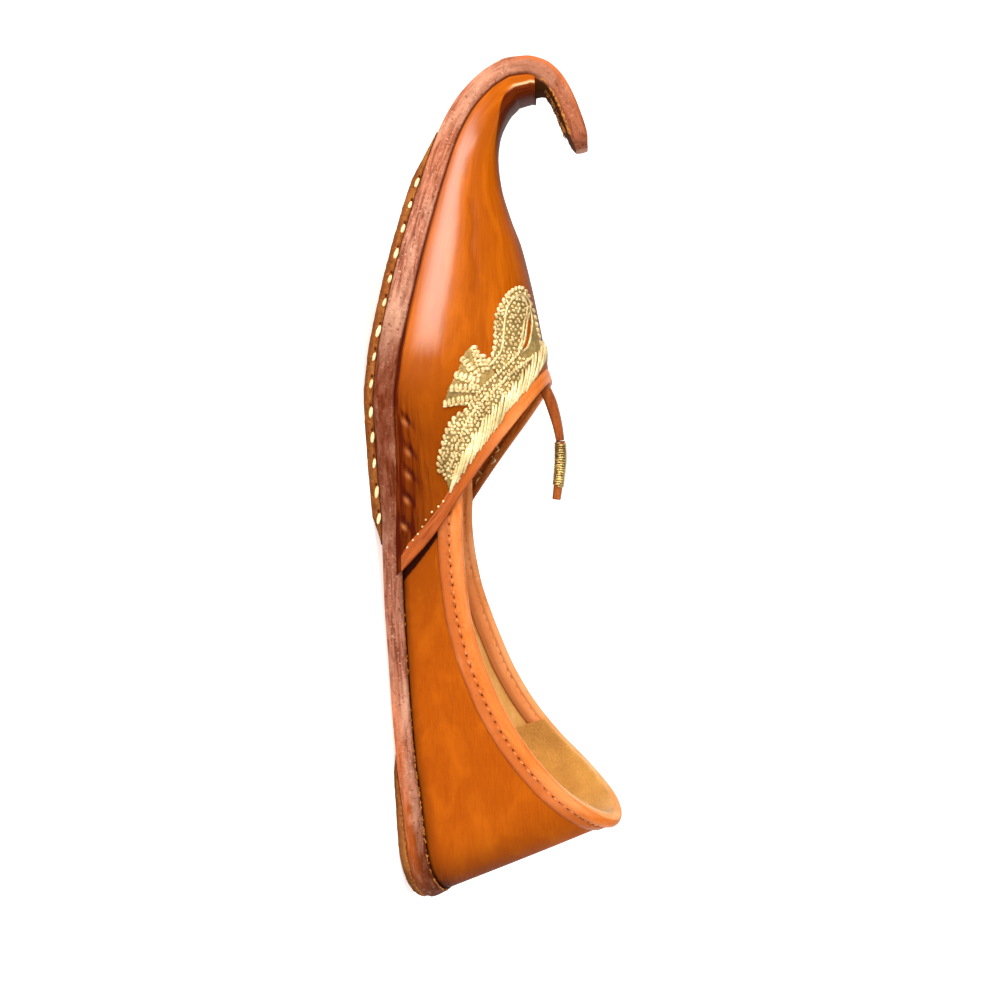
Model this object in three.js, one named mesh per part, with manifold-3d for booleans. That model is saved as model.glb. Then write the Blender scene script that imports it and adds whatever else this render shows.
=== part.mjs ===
// Mojari: a soft leather slipper with an upturned toe, lasted straight so that it fits either foot.
// Lengths are millimetres. Tables measure X forward from the heel's back, Y to the wearer's left, Z up.
import * as THREE from 'three';
import Module from 'manifold-3d';

const wasm = await Module();
wasm.setup();

// Main sizes
const MIDDLE_X = 145;
const GAP = 0.3;
const HEEL_RADIUS = 29;
const ROUND_POWER = 2.3;
const TIP_SHARE = 0.45;
const QUARTER_INSET = 2;
const VAMP_INSET = 0.4;
const QUARTER_WALL = 1.8;
const VAMP_WALL = 2.2;
const LAP_RUN = 150;
const LAP_END = 172;
const TOE_HOLLOW_END = 262;
const BEAK_END = 312.5;
const SOLE_BEVEL = 0.9;
const SHEET_BEVEL = 0.4;
const HALF_SOLE_THICK = 2.6;
const HALF_SOLE_FROM = 131;
const HALF_SOLE_TO = 258;
const HALF_SOLE_INSET = 0.3;
const LIFT_THICK = 2.6;
const LIFT_TO = 57;
const LIFT_INSET = 1.2;
const INSOLE_THICK = 2;
const INSOLE_INSET = 5.2;
const INSOLE_TO = 240;
const BINDING_THICK = 1.1;
const COLLAR_BAND = 7.5;
const MOUTH_BAND = 4;
const TIP_ROUND = 5;
const SIDE_REACH = 70;
const DROP = 12;

// Underside of the sole from heel to curl tip: centreline, half width and thickness, one row per section
const SOLE_ROWS = [
  { x: 2.2, z: 10, half: 30, thick: 6.6 },
  { x: 7, z: 7.5, half: 30.2, thick: 6.6 },
  { x: 14, z: 5.2, half: 30.3, thick: 6.6 },
  { x: 22, z: 3.6, half: 30.5, thick: 6.6 },
  { x: 31, z: 2.9, half: 30.8, thick: 6.5 },
  { x: 45, z: 2.2, half: 31, thick: 6.4 },
  { x: 60, z: 1.2, half: 31, thick: 6.3 },
  { x: 85, z: 0.7, half: 31.3, thick: 6.3 },
  { x: 110, z: 0.9, half: 33.4, thick: 6.4 },
  { x: 130, z: 2, half: 37, thick: 6.5 },
  { x: 145, z: 2.9, half: 39.8, thick: 6.6 },
  { x: 160, z: 2.9, half: 41.6, thick: 6.7 },
  { x: 175, z: 2.9, half: 42, thick: 6.8 },
  { x: 190, z: 4.6, half: 40.8, thick: 7 },
  { x: 206, z: 8, half: 37.6, thick: 7.2 },
  { x: 220, z: 11.1, half: 32.4, thick: 7.3 },
  { x: 234, z: 14.3, half: 25, thick: 7.3 },
  { x: 245, z: 17, half: 18.6, thick: 7.2 },
  { x: 256, z: 20.2, half: 13, thick: 7 },
  { x: 266.7, z: 24.4, half: 10, thick: 6.8 },
  { x: 275.3, z: 29.7, half: 9.3, thick: 6.6 },
  { x: 281.4, z: 35.6, half: 9.1, thick: 6.4 },
  { x: 285.8, z: 42, half: 9, thick: 6.2 },
  { x: 288.1, z: 48.4, half: 9, thick: 6.1 },
  { x: 288.3, z: 54.2, half: 8.8, thick: 6 },
  { x: 286.6, z: 60.2, half: 8.5, thick: 6 },
  { x: 282.8, z: 64.8, half: 8.2, thick: 6 },
  { x: 277, z: 68.3, half: 7.9, thick: 6 },
  { x: 270, z: 71, half: 7.6, thick: 6 },
  { x: 263, z: 73, half: 7.3, thick: 5.9 },
  { x: 256.3, z: 74, half: 7, thick: 5.7 },
];

// Quarter: a row per section at a run along the sole, its lean back, virtual crown height and arch handles
const QUARTER_ROWS = [
  { run: 0, lean: -21, height: 108, flare: 1.05, rise: 0.5, crown: 0.9 },
  { run: 29, lean: -19, height: 100, flare: 1.06, rise: 0.5, crown: 0.9 },
  { run: 60, lean: -13, height: 80, flare: 1.08, rise: 0.5, crown: 0.92 },
  { run: 90, lean: -6, height: 64, flare: 1.08, rise: 0.5, crown: 0.9 },
  { run: 120, lean: 0, height: 56, flare: 1.04, rise: 0.52, crown: 0.7 },
  { run: 150, lean: 0, height: 51.5, flare: 1, rise: 0.55, crown: 0.52 },
  { run: 172, lean: 0, height: 48.5, flare: 1, rise: 0.55, crown: 0.5 },
];

// Vamp and beak: a row per section at a run along the sole, in the same columns
const VAMP_ROWS = [
  { run: 100, lean: 0, height: 60, flare: 1.05, rise: 0.52, crown: 0.75 },
  { run: 120, lean: 0, height: 56, flare: 1.04, rise: 0.52, crown: 0.7 },
  { run: 150, lean: 0, height: 51.5, flare: 1, rise: 0.55, crown: 0.52 },
  { run: 172, lean: 0, height: 48.5, flare: 1, rise: 0.55, crown: 0.5 },
  { run: 191, lean: 1, height: 43.8, flare: 1, rise: 0.55, crown: 0.5 },
  { run: 207, lean: 4, height: 38.4, flare: 1, rise: 0.55, crown: 0.5 },
  { run: 222, lean: 8, height: 33.2, flare: 1, rise: 0.55, crown: 0.5 },
  { run: 236, lean: 13, height: 28, flare: 1, rise: 0.56, crown: 0.5 },
  { run: 247, lean: 19, height: 23, flare: 1, rise: 0.58, crown: 0.52 },
  { run: 259, lean: 27, height: 18, flare: 1, rise: 0.6, crown: 0.58 },
  { run: 271, lean: 36, height: 14, flare: 1, rise: 0.65, crown: 0.72 },
  { run: 281, lean: 47, height: 11.4, flare: 1, rise: 0.75, crown: 0.86 },
  { run: 290, lean: 59, height: 9.4, flare: 1, rise: 0.82, crown: 0.92 },
  { run: 298, lean: 71, height: 8, flare: 1, rise: 0.85, crown: 0.94 },
  { run: 305, lean: 82, height: 7, flare: 1, rise: 0.85, crown: 0.94 },
  { run: 313, lean: 97, height: 6, flare: 1, rise: 0.85, crown: 0.94 },
];

// Top edge of the quarter seen from the side, from the heel's back to where the vamp laps over it
const COLLAR_LINE = [
  { x: -12, z: 112 },
  { x: 12, z: 89.5 },
  { x: 26, z: 76.6 },
  { x: 38, z: 64 },
  { x: 51, z: 52 },
  { x: 66, z: 42 },
  { x: 80.6, z: 35 },
  { x: 96, z: 30.2 },
  { x: 110.5, z: 27.8 },
  { x: 128, z: 27.2 },
  { x: 145.5, z: 28 },
];

// Rear edge of the vamp seen from the side, from the sole up to the peak of the mouth
const MOUTH_LINE = [
  { x: 117.5, z: 3 },
  { x: 121.8, z: 7.5 },
  { x: 133.5, z: 19 },
  { x: 145.5, z: 28 },
  { x: 152.3, z: 33.2 },
  { x: 160, z: 39.4 },
  { x: 168.5, z: 46.6 },
  { x: 181.5, z: 57.4 },
  { x: 194, z: 68 },
];

// Middle of the tab's thickness from the mouth's peak to its end
const TAB_ROWS = [
  { x: 181, z: 56.6, half: 7.4, thick: 2.6 },
  { x: 173, z: 57.4, half: 6.9, thick: 2.6 },
  { x: 166, z: 58.7, half: 6.6, thick: 2.6 },
  { x: 161.3, z: 59.2, half: 6.5, thick: 2.7 },
];
const WRAP_ROWS = [
  { x: 161, z: 59.2, half: 7.1, thick: 3.8 },
  { x: 156, z: 59.1, half: 7.2, thick: 4 },
  { x: 150, z: 58.4, half: 7, thick: 3.9 },
  { x: 141.4, z: 57, half: 6.6, thick: 3.4 },
];

// Smooth curve through the rows of a table in order of one column, level wherever two rows are level
function through(rows, key) {
  const names = Object.keys(rows[0]).filter((name) => name !== key);
  const at = rows.map((row) => row[key]);
  const secant = (name, i) => (rows[i + 1][name] - rows[i][name]) / (at[i + 1] - at[i]);
  const slope = (name, i) => {
    const before = secant(name, Math.max(i - 1, 0));
    const after = secant(name, Math.min(i, rows.length - 2));
    return before * after <= 0 ? 0 : (2 * before * after) / (before + after);
  };
  return (value) => {
    const v = Math.min(Math.max(value, at[0]), at[at.length - 1]);
    let i = 0;
    while (i < at.length - 2 && v > at[i + 1]) {
      i += 1;
    }
    const span = at[i + 1] - at[i];
    const t = (v - at[i]) / span;
    const out = {};
    for (const name of names) {
      const p = rows[i][name];
      const q = rows[i + 1][name];
      const m = slope(name, i) * span;
      const n = slope(name, i + 1) * span;
      out[name] = p + t * (m + t * (3 * (q - p) - 2 * m - n + t * (2 * (p - q) + m + n)));
    }
    return out;
  };
}

// Rows of a spine with the run along it added as a column
function withRun(rows) {
  let run = 0;
  return rows.map((row, i) => {
    if (i > 0) {
      run += Math.hypot(row.x - rows[i - 1].x, row.z - rows[i - 1].z);
    }
    return { ...row, run };
  });
}

// Point, upward normal and sizes of a strip at a run along its spine
function follow(curve, run) {
  const here = curve(run);
  const back = curve(run - 0.5);
  const ahead = curve(run + 0.5);
  const length = Math.hypot(ahead.x - back.x, ahead.z - back.z);
  here.nx = -(ahead.z - back.z) / length;
  here.nz = (ahead.x - back.x) / length;
  return here;
}

const SOLE_SPINE = withRun(SOLE_ROWS);
const SOLE_RUN = SOLE_SPINE[SOLE_SPINE.length - 1].run;
const soleCurve = through(SOLE_SPINE, 'run');
const soleAt = (run) => follow(soleCurve, run);

// Share of the full width that a round end leaves at a distance from that end
function endRound(distance, radius) {
  const t = Math.min(Math.max(distance / radius, 0), 1);
  return Math.sqrt(1 - (1 - t) ** ROUND_POWER);
}

// Runs of the sections: crowded round the heel where asked, then at an even pitch
function stations(from, to, pitch, roundHeel) {
  const list = [];
  const heelSteps = 9;
  for (let i = 0; roundHeel && i < heelSteps; i += 1) {
    const angle = ((i + 0.22) / heelSteps) * (Math.PI / 2);
    list.push(from + HEEL_RADIUS * (1 - Math.cos(angle)));
  }
  const start = roundHeel ? from + HEEL_RADIUS : from;
  const count = Math.round((to - start) / pitch);
  for (let i = 0; i <= count; i += 1) {
    list.push(start + ((to - start) * i) / count);
  }
  return list;
}

// Solid from a list of points and triangles, turned the right way out
function solid(points, triangles) {
  const corner = (i) => new THREE.Vector3(points[3 * i], points[3 * i + 1], points[3 * i + 2]);
  let volume = 0;
  for (let i = 0; i < triangles.length; i += 3) {
    const [a, b, c] = [triangles[i], triangles[i + 1], triangles[i + 2]].map(corner);
    volume += a.dot(b.cross(c));
  }
  const order = volume < 0 ? triangles.slice().reverse() : triangles;
  const mesh = new wasm.Mesh({
    numProp: 3,
    vertProperties: new Float32Array(points),
    triVerts: new Uint32Array(order),
  });
  return new wasm.Manifold(mesh);
}

// Solid from rings of points, each ring joined to the next and both ends closed by a fan
function loft(rings) {
  const size = rings[0].length;
  const points = [];
  const triangles = [];
  const put = ([x, y, z]) => points.push(x - MIDDLE_X, y, z) / 3 - 1;
  rings.forEach((ring) => ring.forEach(put));
  for (let r = 0; r < rings.length - 1; r += 1) {
    for (let i = 0; i < size; i += 1) {
      const a = r * size + i;
      const b = r * size + ((i + 1) % size);
      triangles.push(a, b, a + size, b, b + size, a + size);
    }
  }
  const mean = (ring, k) => ring.reduce((sum, point) => sum + point[k], 0) / size;
  const middle = (ring) => put([mean(ring, 0), mean(ring, 1), mean(ring, 2)]);
  const first = middle(rings[0]);
  const last = middle(rings[rings.length - 1]);
  const lastRow = (rings.length - 1) * size;
  for (let i = 0; i < size; i += 1) {
    const next = (i + 1) % size;
    triangles.push(first, next, i, last, lastRow + i, lastRow + next);
  }
  return solid(points, triangles);
}

// Solid that stands on an outline seen from the side and reaches past both sides of the shoe
function sideBlock(outline) {
  const flat = outline.map(({ x, z }) => new THREE.Vector2(x - MIDDLE_X, z));
  const faces = THREE.ShapeUtils.triangulateShape(flat, []);
  const size = flat.length;
  const turned = THREE.ShapeUtils.isClockWise(flat);
  const points = [];
  const triangles = [];
  for (const y of [-SIDE_REACH, SIDE_REACH]) {
    flat.forEach((p) => points.push(p.x, y, p.y));
  }
  for (const [a, b, c] of faces) {
    const area = flat[b].clone().sub(flat[a]).cross(flat[c].clone().sub(flat[a]));
    const [p, q, r] = area > 0 ? [a, b, c] : [a, c, b];
    triangles.push(p, q, r, size + p, size + r, size + q);
  }
  for (let i = 0; i < size; i += 1) {
    const [a, b] = turned ? [i, (i + 1) % size] : [(i + 1) % size, i];
    triangles.push(a, b, size + a, b, size + b, size + a);
  }
  return solid(points, triangles);
}

// Line moved sideways by a distance, seen from the side, to the left of its direction
function moved(line, distance) {
  return line.map((point, i) => {
    const a = line[Math.max(i - 1, 0)];
    const b = line[Math.min(i + 1, line.length - 1)];
    const length = Math.hypot(b.x - a.x, b.z - a.z);
    return {
      x: point.x - (distance * (b.z - a.z)) / length,
      z: point.z + (distance * (b.x - a.x)) / length,
    };
  });
}

// Finely spaced points of a line given by a few rows
function smooth(line, pitch) {
  const rows = withRun(line);
  const curve = through(rows, 'run');
  return stations(0, rows[rows.length - 1].run, pitch, false).map(curve);
}

const COLLAR = smooth(COLLAR_LINE, 6);
const MOUTH = smooth(MOUTH_LINE, 6);
const HIGH = 130;
const LOW = -20;
const FAR_AHEAD = 330;
const FAR_BACK = -40;

// Everything ahead of the mouth's edge moved back by a distance
function aheadOfMouth(distance) {
  const edge = moved(MOUTH, distance);
  const top = edge[edge.length - 1];
  const bottom = edge[0];
  return sideBlock([
    ...edge,
    { x: top.x, z: HIGH },
    { x: FAR_AHEAD, z: HIGH },
    { x: FAR_AHEAD, z: LOW },
    { x: bottom.x, z: LOW },
  ]);
}

// Everything under the collar's edge moved up by a distance, on behind the mouth and ahead of it
function underCollar(distance) {
  const edge = moved(COLLAR, distance);
  const end = edge[edge.length - 1];
  return sideBlock([
    ...edge,
    { x: FAR_AHEAD, z: end.z },
    { x: FAR_AHEAD, z: LOW },
    { x: FAR_BACK, z: LOW },
    { x: FAR_BACK, z: edge[0].z },
  ]);
}

// Ring of an arch that stands on the sole's top, leans, and can drop below its own base
const ARCH_STEPS = 13;
function archRing(row, run, half, height, drop) {
  const sole = soleAt(run);
  const lift = sole.thick + GAP;
  const base = { x: sole.x + lift * sole.nx, z: sole.z + lift * sole.nz };
  const lean = THREE.MathUtils.degToRad(row.lean);
  const place = (y, up) => [base.x - up * Math.sin(lean), y, base.z + up * Math.cos(lean)];
  const arch = [];
  for (let i = 0; i <= ARCH_STEPS; i += 1) {
    const t = i / ARCH_STEPS;
    const s = 1 - t;
    const y = half * (s ** 3 + 3 * row.flare * s * s * t + 3 * row.crown * s * t * t);
    const up = height * (3 * row.rise * s * s * t + 3 * s * t * t + t ** 3);
    arch.push([y, up]);
  }
  const near = arch.map(([y, up]) => place(y, up));
  const far = arch.slice(0, -1).reverse().map(([y, up]) => place(-y, up));
  const under = drop > 0 ? [place(-half, -drop), place(half, -drop)] : [];
  return [...near, ...far, ...under];
}

// Quarter's form grown outwards by a distance, or shrunk where that is negative
const quarterCurve = through(QUARTER_ROWS, 'run');
function quarterForm(grow, drop) {
  const from = QUARTER_INSET - grow;
  const rings = stations(from, LAP_END, 11, true).map((run) => {
    const row = quarterCurve(run);
    const half = (soleAt(run).half - QUARTER_INSET + grow) * endRound(run - from, HEEL_RADIUS);
    return archRing(row, run, half, row.height - QUARTER_INSET + VAMP_INSET + grow, drop);
  });
  return loft(rings);
}

// Vamp's form with its beak, grown outwards by a distance
const vampCurve = through(VAMP_ROWS, 'run');
function vampForm(grow, drop) {
  const rings = stations(VAMP_ROWS[0].run, BEAK_END + grow, 7, false).map((run) => {
    const row = vampCurve(run);
    return archRing(row, run, soleAt(run).half - VAMP_INSET + grow, row.height + grow, drop);
  });
  return loft(rings);
}

// Hollow of the vamp, which meets the quarter's hollow under the lap and ends short of the beak
function vampHollow() {
  const lapped = QUARTER_WALL + QUARTER_INSET - VAMP_INSET + 0.2;
  const rings = stations(LAP_RUN, TOE_HOLLOW_END, 7, false).map((run) => {
    const row = vampCurve(run);
    const share = THREE.MathUtils.smoothstep(run, LAP_RUN, LAP_END);
    const wall = THREE.MathUtils.lerp(lapped, VAMP_WALL, share);
    return archRing(row, run, soleAt(run).half - VAMP_INSET - wall, row.height - wall, DROP);
  });
  return loft(rings);
}

// Upper: quarter and vamp as one hollow wall, with the vamp's lap as a step at the mouth
const quarterHollow = quarterForm(-QUARTER_WALL, DROP);
const upperSolid = quarterForm(0, 0)
  .intersect(underCollar(0))
  .add(vampForm(0, 0).intersect(aheadOfMouth(0)))
  .subtract(quarterHollow)
  .subtract(vampHollow());

// Mouth binding: a strip folded over the vamp's rear edge
const mouthStrip = vampForm(BINDING_THICK, 0)
  .intersect(aheadOfMouth(BINDING_THICK))
  .subtract(aheadOfMouth(-MOUTH_BAND));
const mouthBindingSolid = mouthStrip
  .subtract(vampForm(GAP, DROP).intersect(aheadOfMouth(GAP)))
  .subtract(quarterForm(GAP, DROP));

// Collar binding: a strip folded over the quarter's top edge, ending at the vamp's lap
const collarShell = quarterForm(BINDING_THICK, 0).subtract(quarterForm(-QUARTER_WALL - BINDING_THICK, DROP));
const wallWithGap = quarterForm(GAP, 0).subtract(quarterForm(-QUARTER_WALL - GAP, DROP));
const collarBindingSolid = collarShell
  .intersect(underCollar(BINDING_THICK))
  .subtract(underCollar(-COLLAR_BAND))
  .subtract(wallWithGap.intersect(underCollar(GAP)))
  .subtract(aheadOfMouth(BINDING_THICK + GAP));

// Ring of a flat strip between two distances from its spine, with its edges bevelled
function stripRing(at, half, low, high, bevel) {
  const place = (y, up) => [at.x + up * at.nx, y, at.z + up * at.nz];
  const side = [
    [half - bevel, low],
    [half, low + bevel],
    [half, high - bevel],
    [half - bevel, high],
  ];
  const near = side.map(([y, up]) => place(y, up));
  const far = side.reverse().map(([y, up]) => place(-y, up));
  return [...near, ...far];
}

// Sole: full length, with its front drawn out into the curl
function soleForm() {
  const rings = stations(0, SOLE_RUN, 5, true).map((run) => {
    const at = soleAt(run);
    const tip = THREE.MathUtils.lerp(TIP_SHARE, 1, endRound(SOLE_RUN - run, TIP_ROUND));
    return stripRing(at, at.half * endRound(run, HEEL_RADIUS) * tip, 0, at.thick, SOLE_BEVEL);
  });
  return loft(rings);
}

// Layer under the sole that fills down to a thickness or to the floor, whichever comes first
function underLayer(from, to, thick, inset, roundHeel) {
  const rings = stations(from, to, 6, roundHeel).map((run) => {
    const at = soleAt(run);
    const round = roundHeel ? endRound(run - from, HEEL_RADIUS) : 1;
    const low = -GAP - Math.min(thick, (at.z - GAP * at.nz) / at.nz);
    return stripRing(at, (at.half - inset) * round, low, -GAP, SHEET_BEVEL);
  });
  return loft(rings);
}

const halfSoleSolid = underLayer(HALF_SOLE_FROM, HALF_SOLE_TO, HALF_SOLE_THICK, HALF_SOLE_INSET, false);
const heelLiftSolid = underLayer(LIFT_INSET, LIFT_TO, LIFT_THICK, LIFT_INSET, true);

// Insole: a sheet that lies on the sole inside the upper
function insoleForm() {
  const rings = stations(INSOLE_INSET + 1, INSOLE_TO, 9, true).map((run) => {
    const at = soleAt(run);
    const half = (at.half - INSOLE_INSET) * endRound(run - INSOLE_INSET - 1, HEEL_RADIUS - INSOLE_INSET);
    return stripRing(at, half, at.thick + GAP, at.thick + GAP + INSOLE_THICK, SHEET_BEVEL);
  });
  return loft(rings);
}

// Tab and its wrapped end: strips about their own middle line
function tabForm(rows, bevel) {
  const spine = withRun(rows);
  const curve = through(spine, 'run');
  const rings = stations(0, spine[spine.length - 1].run, 3, false).map((run) => {
    const at = follow(curve, run);
    return stripRing(at, at.half, -at.thick / 2, at.thick / 2, bevel);
  });
  return loft(rings);
}

const tabSolid = tabForm(TAB_ROWS, 0.5).subtract(aheadOfMouth(BINDING_THICK + GAP));

// Mesh of a solid in its own material
function meshOf(name, form, color, roughness, metalness) {
  const data = form.getMesh();
  const geometry = new THREE.BufferGeometry();
  const positions = new Float32Array(data.numVert * 3);
  for (let i = 0; i < data.numVert; i += 1) {
    positions.set(data.position(i), 3 * i);
  }
  geometry.setAttribute('position', new THREE.BufferAttribute(positions, 3));
  geometry.setIndex(new THREE.BufferAttribute(new Uint32Array(data.triVerts), 1));
  geometry.computeVertexNormals();
  const mesh = new THREE.Mesh(geometry, new THREE.MeshStandardMaterial({ color, roughness, metalness }));
  mesh.name = name;
  return mesh;
}

const shoe = new THREE.Group();
shoe.name = 'mojari';
shoe.add(
  meshOf('sole', soleForm(), 0xb0725f, 0.7, 0),
  meshOf('half_sole', halfSoleSolid, 0x8c5a2e, 0.8, 0),
  meshOf('heel_lift', heelLiftSolid, 0x7a4526, 0.8, 0),
  meshOf('insole', insoleForm(), 0xd9a860, 0.8, 0),
  meshOf('upper', upperSolid, 0xd0690f, 0.5, 0),
  meshOf('mouth_binding', mouthBindingSolid, 0xf07a28, 0.5, 0),
  meshOf('collar_binding', collarBindingSolid, 0xf07a28, 0.5, 0),
  meshOf('tab', tabSolid, 0xb0521a, 0.5, 0),
  meshOf('tab_wrap', tabForm(WRAP_ROWS, 0.9), 0xd8b56a, 0.4, 0.6),
);

export default shoe;
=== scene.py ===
import math

import bpy
import numpy as np
from mathutils import Matrix, Vector
from mathutils.bvhtree import BVHTree


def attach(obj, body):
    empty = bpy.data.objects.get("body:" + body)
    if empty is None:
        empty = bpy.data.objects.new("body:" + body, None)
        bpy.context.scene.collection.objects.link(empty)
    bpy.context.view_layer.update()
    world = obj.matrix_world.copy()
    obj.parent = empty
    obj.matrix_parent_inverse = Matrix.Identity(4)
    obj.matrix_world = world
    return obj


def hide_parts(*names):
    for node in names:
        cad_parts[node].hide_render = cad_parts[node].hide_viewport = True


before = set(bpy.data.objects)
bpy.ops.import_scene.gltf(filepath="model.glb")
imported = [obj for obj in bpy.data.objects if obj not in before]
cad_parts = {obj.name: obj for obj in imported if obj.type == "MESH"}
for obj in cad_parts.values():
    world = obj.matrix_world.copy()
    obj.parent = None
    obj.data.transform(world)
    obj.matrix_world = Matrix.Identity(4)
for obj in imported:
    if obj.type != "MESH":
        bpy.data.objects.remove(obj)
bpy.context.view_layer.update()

scene = bpy.context.scene

# Stage
# A wide glowing white sheet, soft lamps, and a camera low at the shoe's left side, rolled so that the
# toe points up the picture. Lengths here and below are millimetres until a mesh or a lamp is made.
MM = 0.001
PICTURE = 1000
LENS_PIXELS = 1050
SENSOR = 36
CAMERA_PLACE = np.array((23.2, 362.6, 67.2))
CAMERA_RIGHT = np.array((-0.0594, -0.1783, 0.9822))
CAMERA_UP = np.array((0.9960, -0.0766, 0.0463))
CAMERA_BACK = np.cross(CAMERA_RIGHT, CAMERA_UP)
FRAME_TURN = math.radians(5.8)
PAPER_REACH = 3000
PAPER_HIGH = 1000
COVE_START = 650
COVE_RADIUS = 500
PAPER_WHITE = "#F6F4F1"
SHEET_GLOW = 0.72
HORIZON_LIGHT = 0.5
ROOM_LIGHT = 0.07


def linear(code):
    """Linear colour with full opacity from an sRGB hex value."""
    parts = [int(code[i:i + 2], 16) / 255 for i in (1, 3, 5)]
    return tuple(p / 12.92 if p <= 0.04045 else ((p + 0.055) / 1.055) ** 2.4 for p in parts) + (1.0,)


def add(tree, kind, settings, inputs):
    """Adds a node with its settings, and sets or links its inputs."""
    made = tree.nodes.new(kind)
    for key, value in settings.items():
        setattr(made, key, value)
    for key, value in inputs.items():
        if isinstance(value, bpy.types.NodeSocket):
            tree.links.new(value, made.inputs[key])
        else:
            made.inputs[key].default_value = value
    return made


def start_material(name):
    """An empty material: its node tree and its shader."""
    material = bpy.data.materials.new(name)
    material.use_nodes = True
    tree = material.node_tree
    return material, tree, tree.nodes["Principled BSDF"]


def lamp(name, place, aim, size, power, tint):
    """A soft box, wide and high, that shines from a place towards an aim."""
    light = bpy.data.lights.new(name, "AREA")
    light.shape = "RECTANGLE"
    light.size = size[0] * MM
    light.size_y = size[1] * MM
    light.energy = power
    light.color = linear(tint)[:3]
    holder = bpy.data.objects.new(name, light)
    holder.location = Vector(place) * MM
    holder.rotation_euler = (Vector(aim) - Vector(place)).to_track_quat("-Z", "Y").to_euler()
    holder.visible_camera = False
    scene.collection.objects.link(holder)


camera = bpy.data.objects.new("camera", bpy.data.cameras.new("camera"))
camera.data.sensor_fit = "HORIZONTAL"
camera.data.sensor_width = SENSOR
camera.data.lens = SENSOR * LENS_PIXELS / PICTURE
# The camera is turned on its place until the shoe stands in the middle of the picture
framed_right = CAMERA_RIGHT * math.cos(FRAME_TURN) + CAMERA_BACK * math.sin(FRAME_TURN)
framed_back = CAMERA_BACK * math.cos(FRAME_TURN) - CAMERA_RIGHT * math.sin(FRAME_TURN)
camera_turn = Matrix((framed_right, CAMERA_UP, framed_back)).transposed().to_4x4()
camera.matrix_world = Matrix.Translation(Vector(CAMERA_PLACE) * MM) @ camera_turn
scene.collection.objects.link(camera)
scene.camera = camera
scene.view_settings.view_transform = "Standard"

# Matte light-table sheet: even and almost white, lit from below, with a faint mottle
paper, tree, shader = start_material("matte_light_table_sheet")
place = add(tree, "ShaderNodeTexCoord", {}, {}).outputs["Object"]
mottle = add(tree, "ShaderNodeTexNoise", {}, {"Vector": place, "Scale": 30.0}).outputs["Fac"]
tone = add(tree, "ShaderNodeMix", {"data_type": "RGBA"},
           {0: mottle, 6: linear(PAPER_WHITE), 7: linear("#FFFFFF")})
tree.links.new(tone.outputs[2], shader.inputs["Base Color"])
tree.links.new(tone.outputs[2], shader.inputs["Emission Color"])
shader.inputs["Emission Strength"].default_value = SHEET_GLOW
shader.inputs["Roughness"].default_value = 0.9
bend = np.radians(np.linspace(0, 90, 25))
side_on = [(PAPER_REACH, 0.0)]
side_on += [(-COVE_START - COVE_RADIUS * math.sin(a), COVE_RADIUS * (1 - math.cos(a))) for a in bend]
side_on.append((-COVE_START - COVE_RADIUS, PAPER_HIGH))
sheet = bpy.data.meshes.new("paper")
corners = [(x * MM, y * MM, z * MM) for y, z in side_on for x in (-PAPER_REACH, PAPER_REACH)]
bands = [(2 * i, 2 * i + 1, 2 * i + 3, 2 * i + 2) for i in range(len(side_on) - 1)]
sheet.from_pydata(corners, [], bands)
sheet.polygons.foreach_set("use_smooth", [True] * len(bands))
sheet.materials.append(paper)
floor = bpy.data.objects.new("paper", sheet)
scene.collection.objects.link(floor)

# Studio room: pale walls round the horizon and a dim ceiling, so that the lamps and the sheet shape the shoe
world = bpy.data.worlds.new("studio")
world.use_nodes = True
scene.world = world
room = world.node_tree
direction = add(room, "ShaderNodeTexCoord", {}, {}).outputs["Generated"]
height = add(room, "ShaderNodeSeparateXYZ", {}, {"Vector": direction}).outputs["Z"]
walls = add(room, "ShaderNodeMapRange", {}, {"Value": height, "From Min": 0.15, "From Max": 0.4,
                                             "To Min": HORIZON_LIGHT, "To Max": ROOM_LIGHT})
room.links.new(walls.outputs["Result"], room.nodes["Background"].inputs["Strength"])
room.nodes["Background"].inputs["Color"].default_value = (1, 1, 1, 1)
lamp("toe_softbox", (574, 471, 168), (65, 28, 25), (765, 340), 7.9, "#FFF8F0")
lamp("heel_softbox", (-420, 640, 330), (-60, 20, 25), (360, 360), 1.2, "#FFFFFF")
lamp("top_softbox", (-60, 60, 900), (0, 0, 0), (600, 600), 0.8, "#FFFFFF")
lamp("mouth_softbox", (-90, 190, 400), (-70, -25, 25), (220, 220), 0.8, "#FFFFFF")

# Sole
# One thick layer of vegetable-tanned leather, cut to the foot's outline and drawn out in front into a strip
# that is curled back over the toe. Its cut edge is dyed and rubbed, its top is the fuzzy flesh side.
MIDDLE_X = 145
HEEL_RADIUS = 29
ROUND_POWER = 2.3
TIP_SHARE = 0.45
TIP_ROUND = 5
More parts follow.
